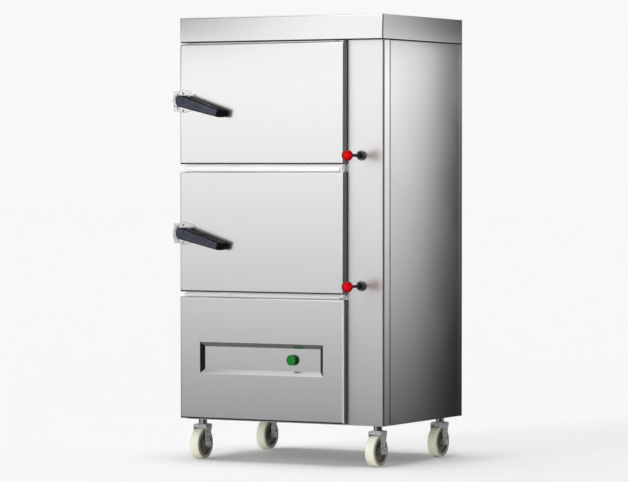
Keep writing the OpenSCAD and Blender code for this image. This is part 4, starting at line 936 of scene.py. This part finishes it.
class STEAMER_OT_controls(bpy.types.Operator):
    """Lower panel with its recess, and the green button in its black housing"""
    bl_idname = "steamer.controls"
    bl_label = "Lower panel and button"

    def execute(self, context):
        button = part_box("button_housing")[0]
        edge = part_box("lower_panel")[1].x - EDGE_WIDTH

        def is_low_shaded_hem(face):
            return is_shaded_hem(face) and face.calc_center_median().z < button.z

        # The lower panel's right fold, which gets the painted highlight
        def is_right_fold(face):
            sloped = face.normal.y < -SLOPE and face.normal.x > FOLD_START
            return sloped and face.calc_center_median().x > edge

        def is_upright_wall(face):
            return abs(face.normal.x) > SIDEWAYS and face.normal.y < SHOWS

        # Lower panel: dark steel on the lower hem as painted shade, paler steel on the right fold as a
        # painted highlight, shaded steel on the recess's side walls
        dress("lower_panel", steel_across(), sizes().door_edge, (dark_steel(), is_low_shaded_hem),
              (steel_edge(), is_right_fold), (steel_shaded(), is_upright_wall))
        dress("button_housing", black_plastic(), sizes().part_edge)
        dress("start_button", green_plastic(), sizes().part_edge)
        paint("control_box", zinc_plate())
        return {"FINISHED"}


class STEAMER_OT_valves(bpy.types.Operator):
    """Valve rods with their red ball knobs, and glands with a painted shadow round the rods"""
    bl_idname = "steamer.valves"
    bl_label = "Steam valves"

    def execute(self, context):
        dress("valve_glands", gland_steel_shadowed(), sizes().part_edge)
        for level in LEVELS:
            dress(level + "_valve_rod", dark_steel(), sizes().part_edge)
            node = level + "_valve_knob"
            low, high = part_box(node)
            radius = (high.x - low.x) / 2
            centre = Vector(((low.x + high.x) / 2, low.y + radius, (low.z + high.z) / 2))
            flat = high.y - centre.y
            neck = math.degrees(math.asin(flat / radius))
            profile = arc_points((0, 0), radius, -90, neck, 40) + [(0.0, flat)]
            knob = turned(node + "_finish", profile, centre, (0, 1, 0))
            place_piece(knob, node, red_plastic())
        return {"FINISHED"}


class STEAMER_OT_castors(bpy.types.Operator):
    """Castors: stems, forks and ivory wheels"""
    bl_idname = "steamer.castors"
    bl_label = "Castors"

    def execute(self, context):
        dress("castor_stems", polished_zinc(), sizes().part_edge)
        for corner in CORNERS:
            dress(corner + "_fork", zinc_plate(), sizes().part_edge)
            low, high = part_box(corner + "_wheel")
            axle = (low + high) / 2
            radius = (high.z - low.z) / 2

            def within(share):
                return lambda face: max((v.co.yz - axle.yz).length for v in face.verts) < share * radius

            # Darker finishes on the side ring and core: painted shade
            dress(corner + "_wheel", ivory_nylon(), 2 * sizes().part_edge,
                  (shaded_wheel_core(), within(CORE_SHARE)), (shaded_wheel_side(), within(SIDE_SHARE)))
        return {"FINISHED"}


class STEAMER_OT_chambers(bpy.types.Operator):
    """Chamber liners with their racks and ledges"""
    bl_idname = "steamer.chambers"
    bl_label = "Chambers"

    def execute(self, context):
        for level in LEVELS:
            dress(level + "_chamber", steel_deep(), sizes().part_edge)
        dress("rack_uprights", steel_upright(), sizes().part_edge)
        dress("tray_ledges", steel_deep(), sizes().part_edge)
        return {"FINISHED"}


class STEAMER_OT_works(bpy.types.Operator):
    """Boiler, heater, pipes, rails and insulation inside the body, and the pipe ends at the back"""
    bl_idname = "steamer.works"
    bl_label = "Works"

    def execute(self, context):
        for node in ("water_inlet", "drain_pipe"):
            dress(node, brass(), sizes().part_edge)
        for node in ("steam_riser", "valve_bodies", "steam_feeds", "float_arm"):
            paint(node, brass())
        for node in ("boiler_tank", "boiler_lid"):
            paint(node, steel_across())
        for node in ("base_rails", "heating_element"):
            paint(node, zinc_plate())
        paint("foam_insulation", foam())
        dress("cable_gland", black_plastic(), sizes().part_edge)
        self.cover_screws()
        return {"FINISHED"}

    def cover_screws(self):
        low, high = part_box("rear_cover")
        left, right = low.x + COVER_SCREW_IN, high.x - COVER_SCREW_IN
        bottom, top = low.z + COVER_SCREW_IN, high.z - COVER_SCREW_IN
        rows = max(2, round((top - bottom) / sizes().cover_screw_pitch))
        columns = max(2, round((right - left) / sizes().cover_screw_pitch))
        points = [(x, high.y, bottom + (top - bottom) * k / rows)
                  for x in (left, right) for k in range(rows + 1)]
        points += [(left + (right - left) * k / columns, high.y, z)
                   for z in (bottom, top) for k in range(1, columns)]
        screws("rear_cover_screws", "cabinet", points, (0, 1, 0), zinc_plate(), sizes().screw_head)


# Stage

def level_along(tree, measure, stops):
    """Light level that follows (place in metres, level) stops along one axis"""
    first, last = stops[0][0], stops[-1][0]
    node = tree.add("ShaderNodeValToRGB")
    elements = node.color_ramp.elements
    while len(elements) < len(stops):
        elements.new(0.5)
    for element, (place, level) in zip(elements, stops):
        element.position = (place - first) / (last - first)
        element.color = (level, level, level, 1.0)
    tree.join(tree.remap(measure, 0.0, 1.0, first, last), node.inputs["Fac"])
    return node.outputs["Color"]


def card(name, corners, axes, stops, gain=1.0, lean=0.0):
    """Studio card that only reflections see: its glow is the product of the levels along two axes"""
    material = bpy.data.materials.new(name)
    material.use_nodes = True
    material.node_tree.nodes.clear()
    tree = Tree(material.node_tree)
    place = tree.add("ShaderNodeSeparateXYZ")
    tree.join(tree.add("ShaderNodeTexCoord").outputs["Object"], place.inputs["Vector"])
    along, across = (place.outputs[axis] for axis in axes)
    height = tree.maths("SUBTRACT", across, LEAN_HEIGHT)
    sheared = tree.maths("SUBTRACT", along, tree.maths("MULTIPLY", height, lean))
    levels = [level_along(tree, measure, row) for measure, row in zip((sheared, across), stops)]
    glow = tree.add("ShaderNodeEmission")
    glow.inputs["Strength"].default_value = gain
    tree.join(tree.maths("MULTIPLY", *levels), glow.inputs["Color"])
    tree.join(glow.outputs["Emission"], tree.add("ShaderNodeOutputMaterial").inputs["Surface"])
    mesh = bpy.data.meshes.new(name)
    mesh.from_pydata([tuple(c) for c in corners], [], [(0, 1, 2, 3)])
    mesh.materials.append(material)
    plane = link(name, mesh)
    plane.visible_camera = False
    plane.visible_diffuse = False
    plane.visible_transmission = False
    plane.visible_volume_scatter = False
    plane.visible_shadow = False


def wall_card(name, axis, offset, along, up, gain=1.0, lean=0.0):
    """Upright card across X or Y at an offset on the other axis"""
    ends, heights = (along[0][0], along[-1][0]), (up[0][0], up[-1][0])
    corners = []
    for a, z in ((0, 0), (1, 0), (1, 1), (0, 1)):
        corners.append((ends[a], offset, heights[z]) if axis == "X" else (offset, ends[a], heights[z]))
    card(name, corners, (axis, "Z"), (along, up), gain, lean)


def floor_card(name, height, across, deep, gain=1.0):
    """Level card just above the floor"""
    x, y = (across[0][0], across[-1][0]), (deep[0][0], deep[-1][0])
    corners = [(x[a], y[b], height) for a, b in ((0, 0), (1, 0), (1, 1), (0, 1))]
    card(name, corners, ("X", "Y"), (across, deep), gain)


class STEAMER_OT_stage(bpy.types.Operator):
    """Pale floor, white studio, soft lamps, reflection cards and the camera"""
    bl_idname = "steamer.stage"
    bl_label = "Stage"

    def execute(self, context):
        settings = context.scene.steamer_stage
        self.floor()
        self.world(context, settings)
        self.cards()
        self.lamps(settings)
        self.camera(context, settings)
        context.scene.view_settings.view_transform = "Standard"
        return {"FINISHED"}

    def floor(self):
        reach = 60.0
        corners = [(-reach, -reach, 0), (reach, -reach, 0), (reach, reach, 0), (-reach, reach, 0)]
        mesh = bpy.data.meshes.new("floor")
        mesh.from_pydata(corners, [], [(0, 1, 2, 3)])
        floor = link("floor", mesh)
        material, tree, shader, place = finish("Pale floor")
        mottle = tree.noise(place, 3.0, 4.0)
        tree.join(tree.blend(mottle, (0.895, 0.895, 0.895), (0.905, 0.905, 0.905)),
                  shader.inputs["Base Color"])
        shader.inputs["Roughness"].default_value = 0.9
        shader.inputs["Specular IOR Level"].default_value = 0.0
        mesh.materials.append(material)

    def world(self, context, settings):
        world = bpy.data.worlds.new("White studio")
        context.scene.world = world
        world.use_nodes = True
        tree = Tree(world.node_tree)
        sky = world.node_tree.nodes["Background"]
        path = tree.add("ShaderNodeLightPath").outputs
        seen = tree.maths("MAXIMUM", path["Is Camera Ray"],
                          tree.maths("MAXIMUM", path["Is Glossy Ray"], path["Is Transmission Ray"]))
        sky.inputs["Color"].default_value = (1.0, 1.0, 1.0, 1.0)
        direction = tree.add("ShaderNodeSeparateXYZ")
        tree.join(tree.add("ShaderNodeTexCoord").outputs["Generated"], direction.inputs["Vector"])
        ambient = tree.remap(direction.outputs["Z"], settings.horizon, settings.ambient, 0.0, LOW_LIGHT)
        sideways = tree.remap(direction.outputs["X"], 1.0 + settings.left_share, 1.0 - settings.left_share,
                              -0.8, 0.8)
        ambient = tree.maths("MULTIPLY", ambient, sideways)
        unseen = tree.maths("SUBTRACT", 1.0, seen)
        tree.join(tree.maths("ADD", tree.maths("MULTIPLY", seen, settings.backdrop),
                             tree.maths("MULTIPLY", unseen, ambient)), sky.inputs["Strength"])

    def cards(self):
        low, high = CAD_BOX
        front, back = low.y - 0.75, high.y + 0.75
        left, right = low.x - 0.65, high.x + 0.65
        rising = ((-0.1, 0.29), (0.15, 0.40), (0.5, 0.63), (0.9, 0.86), (1.2, 1.0), (1.7, 1.0))
        wall_card("front_card", "X", front, ((-2.2, 0.75), (-1.0, 1.0), (0.0, 1.0), (0.16, 1.0)),
                  rising, gain=1.03)
        wall_card("front_strip", "X", front, ((0.16, 1.0), (0.20, 1.0)),
                  ((-0.1, 0.7), (0.5, 0.9), (1.7, 1.0)), gain=1.4)
        wall_card("front_flag", "X", front, ((0.20, 0.0), (0.58, 0.02), (0.70, 0.14), (1.04, 0.14)),
                  ((-0.1, 0.7), (1.7, 1.0)))
        wall_card("right_flag", "Y", right,
                  ((-1.2, 0.12), (0.1, 0.10), (0.35, 0.8), (0.8, 0.86), (1.03, 0.84), (1.20, 0.78),
                   (1.32, 0.64), (1.40, 0.38), (1.46, 0.17), (1.54, 0.0), (7.0, 0.0)),
                  ((-0.1, 0.07), (0.2, 0.23), (0.7, 0.61), (1.25, 0.98), (1.9, 0.85), (2.8, 0.8)),
                  gain=1.25, lean=0.10)
        wall_card("header_side_flag", "Y", right - 0.01,
                  ((0.3, 0.72), (0.95, 0.65), (1.22, 0.40), (1.34, 0.09), (1.42, 0.0), (7.0, 0.0)),
                  ((1.40, 0.9), (1.9, 1.0)))
        wall_card("header_flag", "X", front + 0.01,
                  ((-2.2, 0.32), (-0.85, 0.42), (-0.45, 0.93), (-0.25, 1.03)), ((1.39, 1.0), (1.62, 1.0)))
        wall_card("sky_flag", "X", low.y - 0.40, ((-1.4, 0.03), (-0.64, 0.03), (-0.1, 0.6)),
                  ((1.54, 1.0), (2.3, 1.0)))
        wall_card("left_card", "Y", left,
                  ((-0.8, 0.12), (0.4, 0.18), (0.9, 0.8), (1.3, 0.6), (1.9, 0.2)), rising)
        wall_card("rear_card", "X", back, ((-1.4, 0.4), (-0.6, 0.85), (0.0, 1.0), (0.45, 0.1)), rising)
        floor_card("floor_flag", 0.004, ((-2.2, 0.30), (-0.3, 0.14), (0.35, 0.12), (0.6, 0.04), (1.4, 0.02)),
                   ((-1.6, 1.0), (-0.4, 0.9), (1.6, 0.9), (4.0, 0.9)))

    def lamps(self, settings):
        for name, strength, spread, source in (
                ("top_light", settings.top_light, 20, (0.0, 0.0, 1.0)),
                ("key_light", settings.key_light, 14, (-0.30, -0.80, 0.52))):
            lamp = bpy.data.lights.new(name, "SUN")
            lamp.energy = strength
            lamp.angle = math.radians(spread)
            holder = bpy.data.objects.new(name, lamp)
            holder.rotation_euler = Vector(source).to_track_quat("Z", "Y").to_euler()
            bpy.context.scene.collection.objects.link(holder)

    def camera(self, context, settings):
        view = bpy.data.cameras.new("photo_camera")
        view.lens = settings.lens
        view.sensor_width = 36.0
        view.clip_end = 200.0
        camera = bpy.data.objects.new("photo_camera", view)
        camera.location = settings.camera_place
        camera.rotation_euler = (math.radians(90) - settings.camera_tilt, 0.0, settings.camera_turn)
        context.scene.collection.objects.link(camera)
        context.scene.camera = camera


OPERATORS = (
    STEAMER_OT_body_shell, STEAMER_OT_doors, STEAMER_OT_latches, STEAMER_OT_controls, STEAMER_OT_valves,
    STEAMER_OT_castors, STEAMER_OT_chambers, STEAMER_OT_works, STEAMER_OT_stage)


class STEAMER_PT_panel(bpy.types.Panel):
    """Lists the steps that finish the cabinet"""
    bl_idname = "STEAMER_PT_panel"
    bl_label = "Rice steamer cabinet"
    bl_space_type = "VIEW_3D"
    bl_region_type = "UI"
    bl_category = "Steamer"

    def draw(self, context):
        for operator in OPERATORS:
            self.layout.operator(operator.bl_idname)
        scene = context.scene
        for group in (scene.steamer_sizes, scene.steamer_colours, scene.steamer_stage):
            for name in group.__annotations__:
                self.layout.prop(group, name)


SETTINGS = (SteamerSizes, SteamerColours, SteamerStage)


def register():
    for cls in (*SETTINGS, *OPERATORS, STEAMER_PT_panel):
        bpy.utils.register_class(cls)
    bpy.types.Scene.steamer_sizes = bpy.props.PointerProperty(type=SteamerSizes)
    bpy.types.Scene.steamer_colours = bpy.props.PointerProperty(type=SteamerColours)
    bpy.types.Scene.steamer_stage = bpy.props.PointerProperty(type=SteamerStage)


def unregister():
    del bpy.types.Scene.steamer_stage
    del bpy.types.Scene.steamer_colours
    del bpy.types.Scene.steamer_sizes
    for cls in reversed((*SETTINGS, *OPERATORS, STEAMER_PT_panel)):
        bpy.utils.unregister_class(cls)


def main():
    register()
    for operator in OPERATORS:
        group, name = operator.bl_idname.split(".")
        getattr(getattr(bpy.ops, group), name)()


if __name__ == "__main__":
    main()
